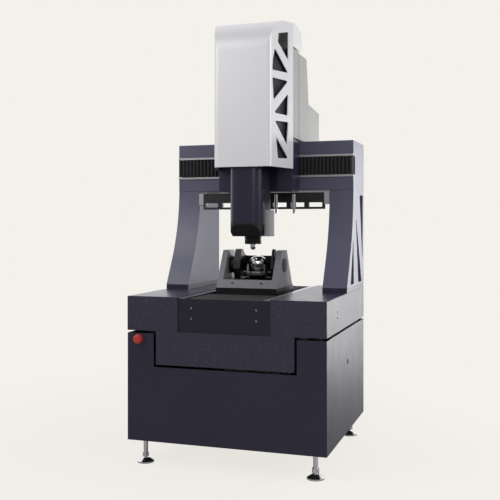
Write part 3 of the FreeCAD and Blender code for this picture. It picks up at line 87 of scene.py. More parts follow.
class Graph:
    """A node tree with short calls for adding nodes and joining them."""

    def __init__(self, tree: bpy.types.NodeTree) -> None:
        """Wrap a tree.

        Args:
            tree: The material's, world's or group's own tree.
        """
        self.tree = tree

    def add(self, kind: str, settings: dict[str, object] | None = None, **sockets: object) -> bpy.types.Node:
        """Add a node.

        Args:
            kind: The node's type, without its ShaderNode prefix.
            settings: The node's own properties.
            sockets: Values or sources of its inputs, with _ for a space in the name.

        Returns:
            The new node.
        """
        node = self.tree.nodes.new(kind if kind.startswith("NodeGroup") else "ShaderNode" + kind)
        for name, setting in (settings or {}).items():
            setattr(node, name, setting)
        for name, source in sockets.items():
            self.feed(node.inputs[name.replace("_", " ")], source)
        return node

    def feed(self, socket: bpy.types.NodeSocket, source: object) -> None:
        """Give an input its value, or join it to an output.

        Args:
            socket: The input.
            source: A node (its first output), an output socket, a number or a colour.
        """
        if isinstance(source, bpy.types.Node):
            source = source.outputs[0]
        if isinstance(source, bpy.types.NodeSocket):
            self.tree.links.new(source, socket)
        elif isinstance(source, tuple) and len(source) == 3 and socket.type == "RGBA":
            socket.default_value = (*source, 1.0)
        else:
            socket.default_value = source

    def math(self, operation: str, first: object, second: object = 0.0, third: object = 0.0
             ) -> bpy.types.Node:
        """Add a math node.

        Args:
            operation: Its operation.
            first, second, third: Its inputs.

        Returns:
            The node.
        """
        node = self.tree.nodes.new("ShaderNodeMath")
        node.operation = operation
        for socket, source in zip(node.inputs, (first, second, third)):
            self.feed(socket, source)
        return node

    def mix(self, factor: object, first: object, second: object) -> bpy.types.NodeSocket:
        """Mix two colours.

        Args:
            factor: The share of the second.
            first, second: The colours.

        Returns:
            The mixed colour's socket.
        """
        node = self.tree.nodes.new("ShaderNodeMix")
        node.data_type = "RGBA"
        self.feed(node.inputs[0], factor)
        self.feed(node.inputs[6], first)
        self.feed(node.inputs[7], second)
        return node.outputs[2]

    def ramp(self, source: object, low: float, high: float, soft: bool = True) -> bpy.types.Node:
        """Spread the stretch from low to high over 0 to 1.

        Args:
            source: The value to spread.
            low, high: The stretch's ends; low may be above high to turn it round.
            soft: Whether the ends are eased.

        Returns:
            The map range node.
        """
        node = self.tree.nodes.new("ShaderNodeMapRange")
        node.interpolation_type = "SMOOTHSTEP" if soft else "LINEAR"
        self.feed(node.inputs["Value"], source)
        node.inputs["From Min"].default_value = low
        node.inputs["From Max"].default_value = high
        return node


class Effect(Enum):
    """The surface effects that several finishes share, by the names of their node groups."""

    ORANGE_PEEL = "orange_peel"
    CLOUDS = "clouds"
    # Painted highlight on outer edges, broken into patches like wear.
    EDGE_HIGHLIGHT_AND_WEAR = "edge_highlight_and_wear"
    DUST = "dust"
    CRYSTALS = "crystals"
    BRUSHING = "brushing"


class EffectLibrary:
    """Builds each shared effect once, as a node group with named inputs and outputs."""

    def __init__(self) -> None:
        """Start with no groups."""
        self.groups: dict[Effect, bpy.types.NodeTree] = {}

    def place(self, graph: Graph, effect: Effect, **values: object) -> bpy.types.Node:
        """Place an effect in a material.

        Args:
            graph: The material's graph.
            effect: Which effect.
            values: Its inputs, with _ for a space in the name.

        Returns:
            The group's node.
        """
        if effect not in self.groups:
            self.groups[effect] = getattr(self, "make_" + effect.value)()
        node = graph.tree.nodes.new("ShaderNodeGroup")
        node.node_tree = self.groups[effect]
        for name, source in values.items():
            graph.feed(node.inputs[name.replace("_", " ")], source)
        return node

    @staticmethod
    def start(effect: Effect, inputs: dict[str, float], outputs: dict[str, str]
              ) -> tuple[Graph, bpy.types.Node, bpy.types.Node, bpy.types.Node]:
        """Start a group with its sockets.

        Args:
            effect: The effect, which names the group.
            inputs: Number inputs and their defaults.
            outputs: Output names and their kinds, "Float" or "Color".

        Returns:
            Its graph, its input node, its output node and the object's own coordinates.
        """
        tree = bpy.data.node_groups.new(effect.value, "ShaderNodeTree")
        for name, default in inputs.items():
            socket = tree.interface.new_socket(name, in_out="INPUT", socket_type="NodeSocketFloat")
            socket.default_value = default
        for name, kind in outputs.items():
            tree.interface.new_socket(name, in_out="OUTPUT", socket_type="NodeSocket" + kind)
        graph = Graph(tree)
        place = graph.add("TexCoord")
        return graph, graph.add("NodeGroupInput"), graph.add("NodeGroupOutput"), place.outputs["Object"]

    def make_orange_peel(self) -> bpy.types.NodeTree:
        """Build the fine dimpling of sprayed and baked paint.

        Returns:
            The group, with a height for bump.
        """
        graph, inputs, outputs, place = self.start(Effect.ORANGE_PEEL, {"Scale": 260.0}, {"Height": "Float"})
        coarse = graph.add("TexNoise", Vector=place, Scale=inputs.outputs["Scale"], Detail=2.0,
                           Roughness=0.45)
        fine_scale = graph.math("MULTIPLY", inputs.outputs["Scale"], 3.7)
        fine = graph.add("TexNoise", Vector=place, Scale=fine_scale, Detail=1.0)
        height = graph.math("MULTIPLY_ADD", fine, 0.3, coarse)
        graph.feed(outputs.inputs["Height"], height)
        return graph.tree

    def make_clouds(self) -> bpy.types.NodeTree:
        """Build slow variation over a whole panel.

        Returns:
            The group, with a mask from 0 to 1.
        """
        graph, inputs, outputs, place = self.start(Effect.CLOUDS, {"Scale": 3.0, "Contrast": 1.0},
                                                   {"Mask": "Float"})
        noise = graph.add("TexNoise", Vector=place, Scale=inputs.outputs["Scale"], Detail=4.0, Roughness=0.6)
        centred = graph.math("SUBTRACT", noise, 0.5)
        spread = graph.math("MULTIPLY_ADD", centred, inputs.outputs["Contrast"], 0.5)
        spread.use_clamp = True
        graph.feed(outputs.inputs["Mask"], spread)
        return graph.tree

    def make_edge_highlight_and_wear(self) -> bpy.types.NodeTree:
        """Build the thin bright line on outer edges: a painted highlight, broken into patches like wear from
        handling.

        Returns:
            The group, with a mask that is 1 on a lit, worn edge.
        """
        graph, inputs, outputs, place = self.start(
            Effect.EDGE_HIGHLIGHT_AND_WEAR, {"Radius": 0.0012, "Amount": 0.6, "Scale": 60.0}, {"Mask": "Float"})
        # Rounded outer edges get a painted highlight; noise breaks it into patches like wear.
        round_off = graph.add("Bevel", {"samples": 4}, Radius=inputs.outputs["Radius"])
        flat = graph.add("NewGeometry")
        product = graph.add("VectorMath", {"operation": "DOT_PRODUCT"})
        graph.feed(product.inputs[0], round_off)
        graph.feed(product.inputs[1], flat.outputs["Normal"])
        edge = graph.ramp(product.outputs["Value"], 0.995, 0.86)
        patches = graph.add("TexNoise", Vector=place, Scale=inputs.outputs["Scale"], Detail=3.0)
        broken = graph.ramp(patches, 0.35, 0.65)
        worn_lit_edge = graph.math("MULTIPLY", edge, broken)
        graph.feed(outputs.inputs["Mask"], graph.math("MULTIPLY", worn_lit_edge, inputs.outputs["Amount"]))
        return graph.tree

    def make_dust(self) -> bpy.types.NodeTree:
        """Build the dust that settles on upward faces.

        Returns:
            The group, with a mask that is 1 under dust.
        """
        graph, inputs, outputs, place = self.start(Effect.DUST, {"Amount": 0.15, "Scale": 18.0},
                                                   {"Mask": "Float"})
        facing = graph.add("NewGeometry")
        upward = graph.add("SeparateXYZ", Vector=facing.outputs["Normal"])
        level = graph.ramp(upward.outputs["Z"], 0.5, 1.0)
        grains = graph.add("TexNoise", Vector=place, Scale=inputs.outputs["Scale"], Detail=6.0, Roughness=0.7)
        patchy = graph.ramp(grains, 0.35, 0.75)
        settled = graph.math("MULTIPLY", level, patchy)
        graph.feed(outputs.inputs["Mask"], graph.math("MULTIPLY", settled, inputs.outputs["Amount"]))
        return graph.tree

    def make_crystals(self) -> bpy.types.NodeTree:
        """Build the crystals of dark fine-grained granite.

        Returns:
            The group, with masks of grey crystals and of the few bright flecks.
        """
        graph, inputs, outputs, place = self.start(Effect.CRYSTALS, {"Scale": 420.0},
                                                   {"Crystals": "Float", "Flecks": "Float"})
        cells = graph.add("TexVoronoi", Vector=place, Scale=inputs.outputs["Scale"])
        parts = graph.add("SeparateColor", Color=cells.outputs["Color"])
        graph.feed(outputs.inputs["Crystals"], graph.ramp(parts.outputs["Red"], 0.35, 0.95))
        fleck = graph.math("GREATER_THAN", parts.outputs["Green"], 0.994)
        graph.feed(outputs.inputs["Flecks"], fleck)
        return graph.tree

    def make_brushing(self) -> bpy.types.NodeTree:
        """Build the fine parallel marks that grinding leaves along X.

        Returns:
            The group, with a mask of the marks.
        """
        graph, inputs, outputs, place = self.start(Effect.BRUSHING, {"Scale": 900.0}, {"Mask": "Float"})
        stretched = graph.add("VectorMath", {"operation": "MULTIPLY"})
        graph.feed(stretched.inputs[0], place)
        stretched.inputs[1].default_value = (0.03, 1.0, 1.0)
        marks = graph.add("TexNoise", Vector=stretched, Scale=inputs.outputs["Scale"], Detail=2.0)
        graph.feed(outputs.inputs["Mask"], graph.ramp(marks, 0.3, 0.7))
        return graph.tree


EFFECTS = EffectLibrary()


# -------------------------------------------------------------------------------------------------- finishes


@dataclass(frozen=True)
class Finish:
    """What every finish shares: a name and the making of its material."""

    name: str

    def material(self) -> bpy.types.Material:
        """The finish's material, made when it is first asked for."""
        found = bpy.data.materials.get(self.name)
        return found or self.make()

    def make(self) -> bpy.types.Material:
        """Make the material; each kind of finish fills in its own nodes.

        Returns:
            The new material.
        """
        made = bpy.data.materials.new(self.name)
        made.use_nodes = True
        made.node_tree.nodes.clear()
        graph = Graph(made.node_tree)
        shader = graph.add("BsdfPrincipled")
        graph.add("OutputMaterial", Surface=shader)
        self.dress(graph, shader)
        return made

    def dress(self, graph: Graph, shader: bpy.types.Node) -> None:
        """Feed the shader.

        Args:
            graph: The material's graph.
            shader: Its Principled node.
        """
        raise NotImplementedError


@dataclass(frozen=True)
class Paint(Finish):
    """Sprayed and baked paint: orange peel, slow clouds, dust on top, and edges lightened by wear and a
    painted highlight.
    """

    colour: Colour
    worn_lit_edge: Colour
    roughness: float = 0.38
    gloss: float = 0.5
    peel: float = 0.06
    peel_scale: float = 260.0
    clouds: float = 0.12
    highlight_and_wear: float = 0.35
    dust: float = 0.1
    coat: float = 0.0

    def dress(self, graph: Graph, shader: bpy.types.Node) -> None:
        """Feed the shader.

        Args:
            graph: The material's graph.
            shader: Its Principled node.
        """
        clouds = EFFECTS.place(graph, Effect.CLOUDS, Scale=2.6, Contrast=1.6)
        deep = tuple(part * (1 - self.clouds) for part in self.colour)
        light = tuple(min(1.0, part * (1 + self.clouds)) for part in self.colour)
        base = graph.mix(clouds, deep, light)
        dust = EFFECTS.place(graph, Effect.DUST, Amount=self.dust)
        dusty = graph.mix(dust, base, tone(150, 148, 146))
        # Outer edges are lightened towards the edge colour: partly wear, partly a painted highlight.
        lit_worn_edges = EFFECTS.place(graph, Effect.EDGE_HIGHLIGHT_AND_WEAR, Amount=self.highlight_and_wear)
        graph.feed(shader.inputs["Base Color"], graph.mix(lit_worn_edges, dusty, self.worn_lit_edge))
        smudges = EFFECTS.place(graph, Effect.CLOUDS, Scale=9.0, Contrast=2.0)
        rough = graph.math("MULTIPLY_ADD", smudges, 0.09, self.roughness - 0.045)
        graph.feed(shader.inputs["Roughness"], graph.math("MULTIPLY_ADD", dust, 0.3, rough))
        shader.inputs["Specular IOR Level"].default_value = self.gloss
        shader.inputs["Coat Weight"].default_value = self.coat
        shader.inputs["Coat Roughness"].default_value = 0.12
        peel = EFFECTS.place(graph, Effect.ORANGE_PEEL, Scale=self.peel_scale)
        bump = graph.add("Bump", Strength=self.peel, Distance=0.0006, Height=peel)
        graph.feed(shader.inputs["Normal"], bump)


@dataclass(frozen=True)
class Stone(Finish):
    """Dark granite: fine crystals, a few flecks and a lapped surface."""

    ground: Colour
    crystal: Colour
    fleck: Colour
    roughness: float = 0.3

    def dress(self, graph: Graph, shader: bpy.types.Node) -> None:
        """Feed the shader.

        Args:
            graph: The material's graph.
            shader: Its Principled node.
        """
        grains = EFFECTS.place(graph, Effect.CRYSTALS)
        mixed = graph.mix(grains.outputs["Crystals"], self.ground, self.crystal)
        flecked = graph.mix(grains.outputs["Flecks"], mixed, self.fleck)
        # Outer edges are lightened towards the fleck colour: a painted highlight, broken into patches like
        # wear.
        lit_worn_edges = EFFECTS.place(graph, Effect.EDGE_HIGHLIGHT_AND_WEAR, Amount=0.4, Radius=0.0015)
        graph.feed(shader.inputs["Base Color"], graph.mix(lit_worn_edges, flecked, self.fleck))
        clouds = EFFECTS.place(graph, Effect.CLOUDS, Scale=5.0, Contrast=1.5)
        facing = graph.add("SeparateXYZ", Vector=graph.add("NewGeometry").outputs["Normal"])
        lapped = graph.ramp(facing.outputs["Z"], 0.7, 0.95)
        ground = graph.math("MULTIPLY_ADD", clouds, 0.06, self.roughness + 0.12)
        graph.feed(shader.inputs["Roughness"], graph.math("MULTIPLY_ADD", lapped, -0.17, ground))
        bump = graph.add("Bump", Strength=0.04, Distance=0.0003, Height=grains.outputs["Crystals"])
        graph.feed(shader.inputs["Normal"], bump)


@dataclass(frozen=True)
class Metal(Finish):
    """Bare, plated or anodised metal with fine marks, smudges, and edges lightened by wear and a painted
    highlight.
    """

    colour: Colour
    roughness: float = 0.25
    marks: float = 0.12
    highlight_and_wear: float = 0.3
    bright: Colour = (0.8, 0.8, 0.8)
    metallic: float = 1.0

    def dress(self, graph: Graph, shader: bpy.types.Node) -> None:
        """Feed the shader.

        Args:
            graph: The material's graph.
            shader: Its Principled node.
        """
        marks = EFFECTS.place(graph, Effect.BRUSHING)
        deep = tuple(part * (1 - self.marks) for part in self.colour)
        base = graph.mix(marks, deep, self.colour)
        # Outer edges are lightened towards the bright colour: a painted highlight, broken into patches like
        # wear.
        lit_worn_edges = EFFECTS.place(graph, Effect.EDGE_HIGHLIGHT_AND_WEAR, Amount=self.highlight_and_wear, Radius=0.0008)
        graph.feed(shader.inputs["Base Color"], graph.mix(lit_worn_edges, base, self.bright))
        smudges = EFFECTS.place(graph, Effect.CLOUDS, Scale=22.0, Contrast=2.0)
        graph.feed(shader.inputs["Roughness"],
                   graph.math("MULTIPLY_ADD", smudges, 0.1, max(0.02, self.roughness - 0.05)))
        shader.inputs["Metallic"].default_value = self.metallic
        bump = graph.add("Bump", Strength=0.05, Distance=0.0002, Height=marks)
        graph.feed(shader.inputs["Normal"], bump)


@dataclass(frozen=True)
class Plastic(Finish):
    """Moulded plastic or rubber with a fine grain."""

    colour: Colour
    roughness: float = 0.45
    grain: float = 0.12
    grain_scale: float = 900.0

    def dress(self, graph: Graph, shader: bpy.types.Node) -> None:
        """Feed the shader.

        Args:
            graph: The material's graph.
            shader: Its Principled node.
        """
        clouds = EFFECTS.place(graph, Effect.CLOUDS, Scale=30.0, Contrast=1.5)
        deep = tuple(part * 0.85 for part in self.colour)
        base = graph.mix(clouds, deep, self.colour)
        dust = EFFECTS.place(graph, Effect.DUST, Amount=0.12, Scale=40.0)
        graph.feed(shader.inputs["Base Color"], graph.mix(dust, base, tone(150, 148, 146)))
        graph.feed(shader.inputs["Roughness"], graph.math("MULTIPLY_ADD", clouds, 0.1, self.roughness - 0.05))
        peel = EFFECTS.place(graph, Effect.ORANGE_PEEL, Scale=self.grain_scale)
        bump = graph.add("Bump", Strength=self.grain, Distance=0.0003, Height=peel)
        graph.feed(shader.inputs["Normal"], bump)


@dataclass(frozen=True)
class CoatedFabric(Finish):
    """Bellows cloth: woven polyester with a coating that shines a little on the folds."""

    colour: Colour
    thread: float = 0.0011

    def dress(self, graph: Graph, shader: bpy.types.Node) -> None:
        """Feed the shader.

        Args:
            graph: The material's graph.
            shader: Its Principled node.
        """
        place = graph.add("SeparateXYZ", Vector=graph.add("TexCoord").outputs["Object"])
        turn = 2 * math.pi / self.thread
        waves = [graph.math("SINE", graph.math("MULTIPLY", place.outputs[axis], turn)) for axis in "XYZ"]
        weave = graph.math("ADD", graph.math("MULTIPLY", waves[0], waves[1]), waves[2])
        clouds = EFFECTS.place(graph, Effect.CLOUDS, Scale=14.0, Contrast=1.8)
        base = graph.mix(clouds, tuple(part * 0.7 for part in self.colour), self.colour)
        # Fold ridges are lightened towards a grey: a painted highlight, broken into patches like wear.
        lit_worn_edges = EFFECTS.place(graph, Effect.EDGE_HIGHLIGHT_AND_WEAR, Amount=0.35, Radius=0.001, Scale=120.0)
        graph.feed(shader.inputs["Base Color"], graph.mix(lit_worn_edges, base, tone(88, 86, 90)))
        graph.feed(shader.inputs["Roughness"], graph.math("MULTIPLY_ADD", clouds, 0.15, 0.42))
        shader.inputs["Sheen Weight"].default_value = 0.15
        bump = graph.add("Bump", Strength=0.15, Distance=0.0002, Height=weave)
        graph.feed(shader.inputs["Normal"], bump)


class Finishes:
    """The machine's finishes, in a maker's plain words."""

    # Each paint's second colour and each metal's bright colour are painted onto outer edges: partly wear,
    # partly a painted highlight.
    CABINET = Paint("cabinet_paint", tone(40, 36, 58), tone(110, 106, 125), roughness=0.4)
    GRANITE = Stone("black_granite", tone(46, 43, 60), tone(60, 56, 74), tone(104, 102, 112))
    COVER = Paint("end_cover_paint", tone(26, 23, 40), tone(90, 88, 105), roughness=0.42)
    COLUMN = Paint("portal_paint", tone(95, 93, 116), tone(150, 148, 160), roughness=0.34)
    CARRIAGE = Paint("carriage_paint", tone(44, 40, 62), tone(120, 116, 135), roughness=0.36)
    QUILL = Paint("quill_paint", tone(36, 32, 56), tone(120, 118, 135), roughness=0.26, peel=0.03, coat=0.35)
    HOOD = Paint("hood_white", tone(226, 222, 227), tone(240, 240, 242), roughness=0.4, peel=0.05,
                 clouds=0.015, highlight_and_wear=0.15, dust=0.02)
    HOUSING = Paint("housing_light_grey", tone(168, 169, 163), tone(215, 215, 214), roughness=0.42,
                    clouds=0.02, highlight_and_wear=0.2, dust=0.05)
    CORE = Paint("head_core_black", tone(30, 27, 40), tone(80, 78, 90), roughness=0.5)
    TILT = Paint("tilt_unit_grey", tone(121, 119, 124), tone(185, 184, 188), roughness=0.36, highlight_and_wear=0.6)
    FRAME = Paint("frame_black", tone(34, 33, 36), tone(90, 88, 92), roughness=0.5)
    UNIT = Paint("controller_grey", tone(168, 168, 164), tone(200, 200, 198), roughness=0.45)
    BLACK = Metal("black_anodised", tone(22, 21, 25), roughness=0.42, marks=0.2, metallic=0.35,
                  bright=tone(110, 110, 116))
    CRADLE = Metal("black_oxide", tone(22, 21, 25), roughness=0.38, marks=0.25, metallic=0.3,
                   bright=tone(170, 170, 176))
    CHROME = Metal("chrome", tone(215, 215, 220), roughness=0.12, marks=0.04)
    STEEL = Metal("ground_steel", tone(178, 178, 182), roughness=0.3)
    DARK_STEEL = Metal("hardened_steel", tone(92, 92, 98), roughness=0.28)
    ALUMINIUM = Metal("anodised_aluminium", tone(196, 196, 198), roughness=0.42, metallic=0.85)
    RED = Plastic("signal_red", tone(205, 58, 50), roughness=0.35)
    COLLAR = Plastic("collar_red", tone(176, 60, 54), roughness=0.4)
    RUBBER = Plastic("rubber", tone(28, 28, 29), roughness=0.75)
    CAP = Plastic("cap_black", tone(24, 23, 27), roughness=0.5)
    CLOTH = CoatedFabric("bellows_cloth", tone(30, 29, 34))


NODE_FINISH: dict[str, Finish] = {
    "foot_pads": Finishes.CHROME, "foot_spindles": Finishes.CHROME, "stand_frame": Finishes.FRAME,
    "front_shell": Finishes.CABINET, "rear_shell": Finishes.CABINET, "side_panel_left": Finishes.CABINET,
    "side_panel_right": Finishes.CABINET, "floor_tray": Finishes.FRAME, "isolators": Finishes.RUBBER,
    "controller_unit": Finishes.UNIT, "estop_collar": Finishes.COLLAR, "granite_table": Finishes.GRANITE,
    "channel_end_covers": Finishes.COVER, "cover_screws": Finishes.STEEL,
    "channel_side_strips": Finishes.STEEL, "y_rails": Finishes.STEEL, "y_motor_track": Finishes.ALUMINIUM,
    "y_bellows_front": Finishes.CLOTH, "y_bellows_rear": Finishes.CLOTH, "column_left": Finishes.COLUMN,
    "column_right": Finishes.COLUMN, "column_foot_plates": Finishes.CARRIAGE, "crossbeam": Finishes.COLUMN,
    "x_rails": Finishes.STEEL, "x_motor_track": Finishes.ALUMINIUM, "bellows_strips": Finishes.ALUMINIUM,
    "x_bellows_left": Finishes.CLOTH, "x_bellows_right": Finishes.CLOTH, "rack_frame": Finishes.FRAME,
    "rack_brackets": Finishes.ALUMINIUM, "rack_objectives": Finishes.CHROME,
    "carriage_box": Finishes.CARRIAGE, "x_runner_blocks": Finishes.DARK_STEEL, "hood": Finishes.HOOD,
    "head_core": Finishes.CORE, "rear_housing": Finishes.HOUSING, "z_rails": Finishes.STEEL,
    "z_drive": Finishes.BLACK, "quill_column": Finishes.CORE, "quill_cover": Finishes.QUILL,
    "quill_cap": Finishes.CAP, "nose_ring": Finishes.BLACK, "objective": Finishes.CHROME,
    "side_camera": Finishes.ALUMINIUM, "z_runner_blocks": Finishes.DARK_STEEL,
    "y_carriage": Finishes.BLACK, "y_runner_blocks": Finishes.DARK_STEEL, "stage_plate": Finishes.BLACK,
    "cheeks": Finishes.TILT, "crossbars": Finishes.TILT, "tilt_unit_screws": Finishes.BLACK,
    "trunnion_drums": Finishes.BLACK, "cradle": Finishes.CRADLE, "faceplate": Finishes.DARK_STEEL,
    "chuck_jaws": Finishes.STEEL, "workpiece": Finishes.CHROME, "estop_button": Finishes.RED,
    "panel_lock_left": Finishes.BLACK, "panel_lock_right": Finishes.BLACK,
}


# ---------------------------------------------------------------------------------------------- mesh making


class Shape:
    """One piece's mesh while it is being made."""

    def __init__(self) -> None:
        """Start with an empty mesh."""
        self.mesh = bmesh.new()

    def loft(self, rings: Sequence[Sequence[Vector]]) -> None:
        """Skin a closed surface over rings of equal length and fill the end rings.

        Args:
            rings: The rings, each a closed loop of points.
        """
        loops = [[self.mesh.verts.new(point) for point in ring] for ring in rings]
        for low, high in zip(loops, loops[1:]):
            for spot in range(len(low)):
                after = (spot + 1) % len(low)
                self.mesh.faces.new((low[spot], low[after], high[after], high[spot]))
        self.mesh.faces.new(list(reversed(loops[0])))
        self.mesh.faces.new(loops[-1])

    def piece(self, name: str, finish: Finish, smooth_angle: float) -> bpy.types.Object:
        """Turn the mesh into a piece.

        Args:
            name: The piece's name.
            finish: Its finish.
            smooth_angle: Edges up to this many degrees are shaded smooth.

        Returns:
            The new object.
        """
        bmesh.ops.recalc_face_normals(self.mesh, faces=self.mesh.faces)
        data = bpy.data.meshes.new(name)
        self.mesh.to_mesh(data)
        self.mesh.free()
        data.materials.append(finish.material())
        data.shade_smooth()
        data.set_sharp_from_angle(angle=math.radians(smooth_angle))
        made = bpy.data.objects.new(name, data)
        bpy.context.scene.collection.objects.link(made)
        log.info("%s: %d faces", name, len(data.polygons))
        return made


def along(axis: Point, spot: Point) -> Matrix:
    """A place whose own Z points along an axis.

    Args:
        axis: The direction.
        spot: The place's origin.

    Returns:
        The matrix of that place.
    """
    return Matrix.Translation(spot) @ Vector(axis).to_track_quat("Z", "Y").to_matrix().to_4x4()


# ------------------------------------------------------------------------------------------- sub-assemblies


@dataclass
class Bellows:
    """A pleated way cover between a fixed end and a carriage."""

    node: str
    moving_body: str
    axis: int
    moving_at_high: bool
    depth_axis: int
    face_sign: float
    pleat: float = 0.0205
    skin: float = 0.0012

    def build(self) -> None:
        """Fold the cloth into pleats and hide the CAD node it stands for."""
        low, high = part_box(self.node)
        across = 3 - self.axis - self.depth_axis
        length = high[self.axis] - low[self.axis]
        count = max(6, round(length / self.pleat))
        depth = high[self.depth_axis] - low[self.depth_axis]
        outer = high[self.depth_axis] if self.face_sign > 0 else low[self.depth_axis]
        inner = outer - self.face_sign * min(depth, 0.013)
        shape = Shape()
        line = []
        for number in range(count):
            start = low[self.axis] + length * number / count
            step = length / count
            line += [(start, inner), (start + 0.36 * step, outer - self.face_sign * 0.0004),
                     (start + 0.46 * step, outer), (start + 0.54 * step, outer),
                     (start + 0.64 * step, outer - self.face_sign * 0.0004)]
        line.append((high[self.axis], inner))
        back = [(place, level - self.face_sign * self.skin) for place, level in reversed(line)]
        ends = (low[across] + 0.001, high[across] - 0.001)
        rings = []
        for end in ends:
            ring = []
            for place, level in line + back:
                point = Vector((0.0, 0.0, 0.0))
                point[self.axis], point[self.depth_axis], point[across] = place, level, end
                ring.append(point)
            rings.append(ring)
        shape.loft(rings)
        folds = shape.piece(self.node + "_folds", Finishes.CLOTH, smooth_angle=50)
        fixed, moving = (low, high) if self.moving_at_high else (high, low)
        start, end = Vector(fixed), Vector(fixed)
        end[self.axis] = moving[self.axis]
        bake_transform(folds)
        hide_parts(self.node)


@dataclass
class Screws:
    """Button-head screws with a hexagon socket."""

    name: str
    body: str
    radius: float
    height: float
    finish: Finish
    slot: str
    places: Sequence[tuple[Point, Point]] = field(default_factory=list)

    def build(self, *replaced: str) -> None:
        """Make all the screws as one piece.

        Args:
            replaced: CAD nodes that the piece stands for.
        """
        shape = Shape()
        for spot, axis in self.places:
            place = along(axis, spot)
            r, h = self.radius, self.height
            socket, floor = 0.5 * r, 0.35 * h
            dome = [(r, 0.0), (r, 0.35 * h), (0.92 * r, 0.7 * h), (0.72 * r, 0.97 * h), (socket * 1.12, h)]
            sides = 24
            rings = [[place @ Vector((radius * math.cos(2 * math.pi * side / sides),
                                      radius * math.sin(2 * math.pi * side / sides), level))
                      for side in range(sides)] for radius, level in dome]
            for level in (h, floor):
                ring = []
                for side in range(sides):
                    angle = 2 * math.pi * side / sides
                    reach = socket * math.cos(math.pi / 6) / math.cos((angle % (math.pi / 3)) - math.pi / 6)
                    ring.append(place @ Vector((reach * math.cos(angle), reach * math.sin(angle), level)))
                rings.append(ring)
            shape.loft(rings)
        made = shape.piece(self.name, self.finish, smooth_angle=30)
        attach(made, self.body)
        if replaced:
            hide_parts(*replaced)


# Places of the visible screws, in metres: how far each stands under the table's top, and where along X or Y.
COVER_SCREW_X = (-0.157, 0.157)
COVER_SCREW_DROPS = (0.049, 0.098)
SIDE_SCREWS = ((-0.229, 0.068), (-0.229, 0.095), (0.406, 0.095))
SCREW_RADIUS = 0.005
SCREW_HEIGHT = 0.003


def socket_screws() -> None:
    """Make the screws of the channel's front end cover and of the granite's right side."""
    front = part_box("channel_end_covers")[0].y
    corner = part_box("granite_table")[1]
    places = [((x, front, corner.z - drop), (0, -1, 0)) for x in COVER_SCREW_X for drop in COVER_SCREW_DROPS]
    places += [((corner.x, y, corner.z - drop), (1, 0, 0)) for y, drop in SIDE_SCREWS]
    heads = Screws("cover_screw_heads", "machine_base", SCREW_RADIUS, SCREW_HEIGHT, Finishes.STEEL, "steel",
                   places)
    heads.build("cover_screws")


# The sample's rings of corners, as shares of its half height, and how far its corners stand out.
SAMPLE_LEVELS = (-0.93, -0.7, -0.4, -0.05, 0.3, 0.62, 0.88)
SAMPLE_SHARE = 0.985
SAMPLE_DENT = 0.9


def workpiece() -> None:
    """Make the faceted, polished sample in the chuck."""
    low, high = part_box("workpiece")
    spot, reach = (low + high) / 2, (high.x - low.x) / 2
    shape = Shape()
    sides = 12
    rings = []
    for number, level in enumerate(SAMPLE_LEVELS):
        radius = reach * SAMPLE_SHARE * math.sqrt(1 - level * level)
        ring = []
        for side in range(sides):
            angle = 2 * math.pi * (side + 0.5 * (number % 2)) / sides
            dent = SAMPLE_DENT if (side * 5 + number * 3) % 4 == 0 else 1.0
            ring.append(shape.mesh.verts.new((spot.x + radius * dent * math.cos(angle),
                                              spot.y + radius * dent * math.sin(angle),
                                              spot.z + level * (high.z - low.z) / 2)))
        rings.append(ring)
    for number, (under, over) in enumerate(zip(rings, rings[1:])):
        for side in range(sides):
            after = (side + 1) % sides
            if number % 2:
                shape.mesh.faces.new((under[side], under[after], over[after]))
                shape.mesh.faces.new((under[side], over[after], over[side]))
            else:
                shape.mesh.faces.new((under[side], under[after], over[side]))
                shape.mesh.faces.new((under[after], over[after], over[side]))
    shape.mesh.faces.new(list(reversed(rings[0])))
    tip = shape.mesh.verts.new((spot.x, spot.y, high.z - 0.5 * MM))
    for side in range(sides):
        shape.mesh.faces.new((rings[-1][side], rings[-1][(side + 1) % sides], tip))
    made = shape.piece("faceted_sample", Finishes.CHROME, smooth_angle=1)
    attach(made, "rotary_spindle")
    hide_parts("workpiece")


def dress_nodes() -> None:
    """Give every CAD node its finish."""
    for name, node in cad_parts.items():
        node.data.materials.clear()
        node.data.materials.append(NODE_FINISH[name].material())
        node.data.shade_smooth()
        node.data.set_sharp_from_angle(angle=math.radians(32))
    log.info("%d nodes dressed", len(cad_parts))


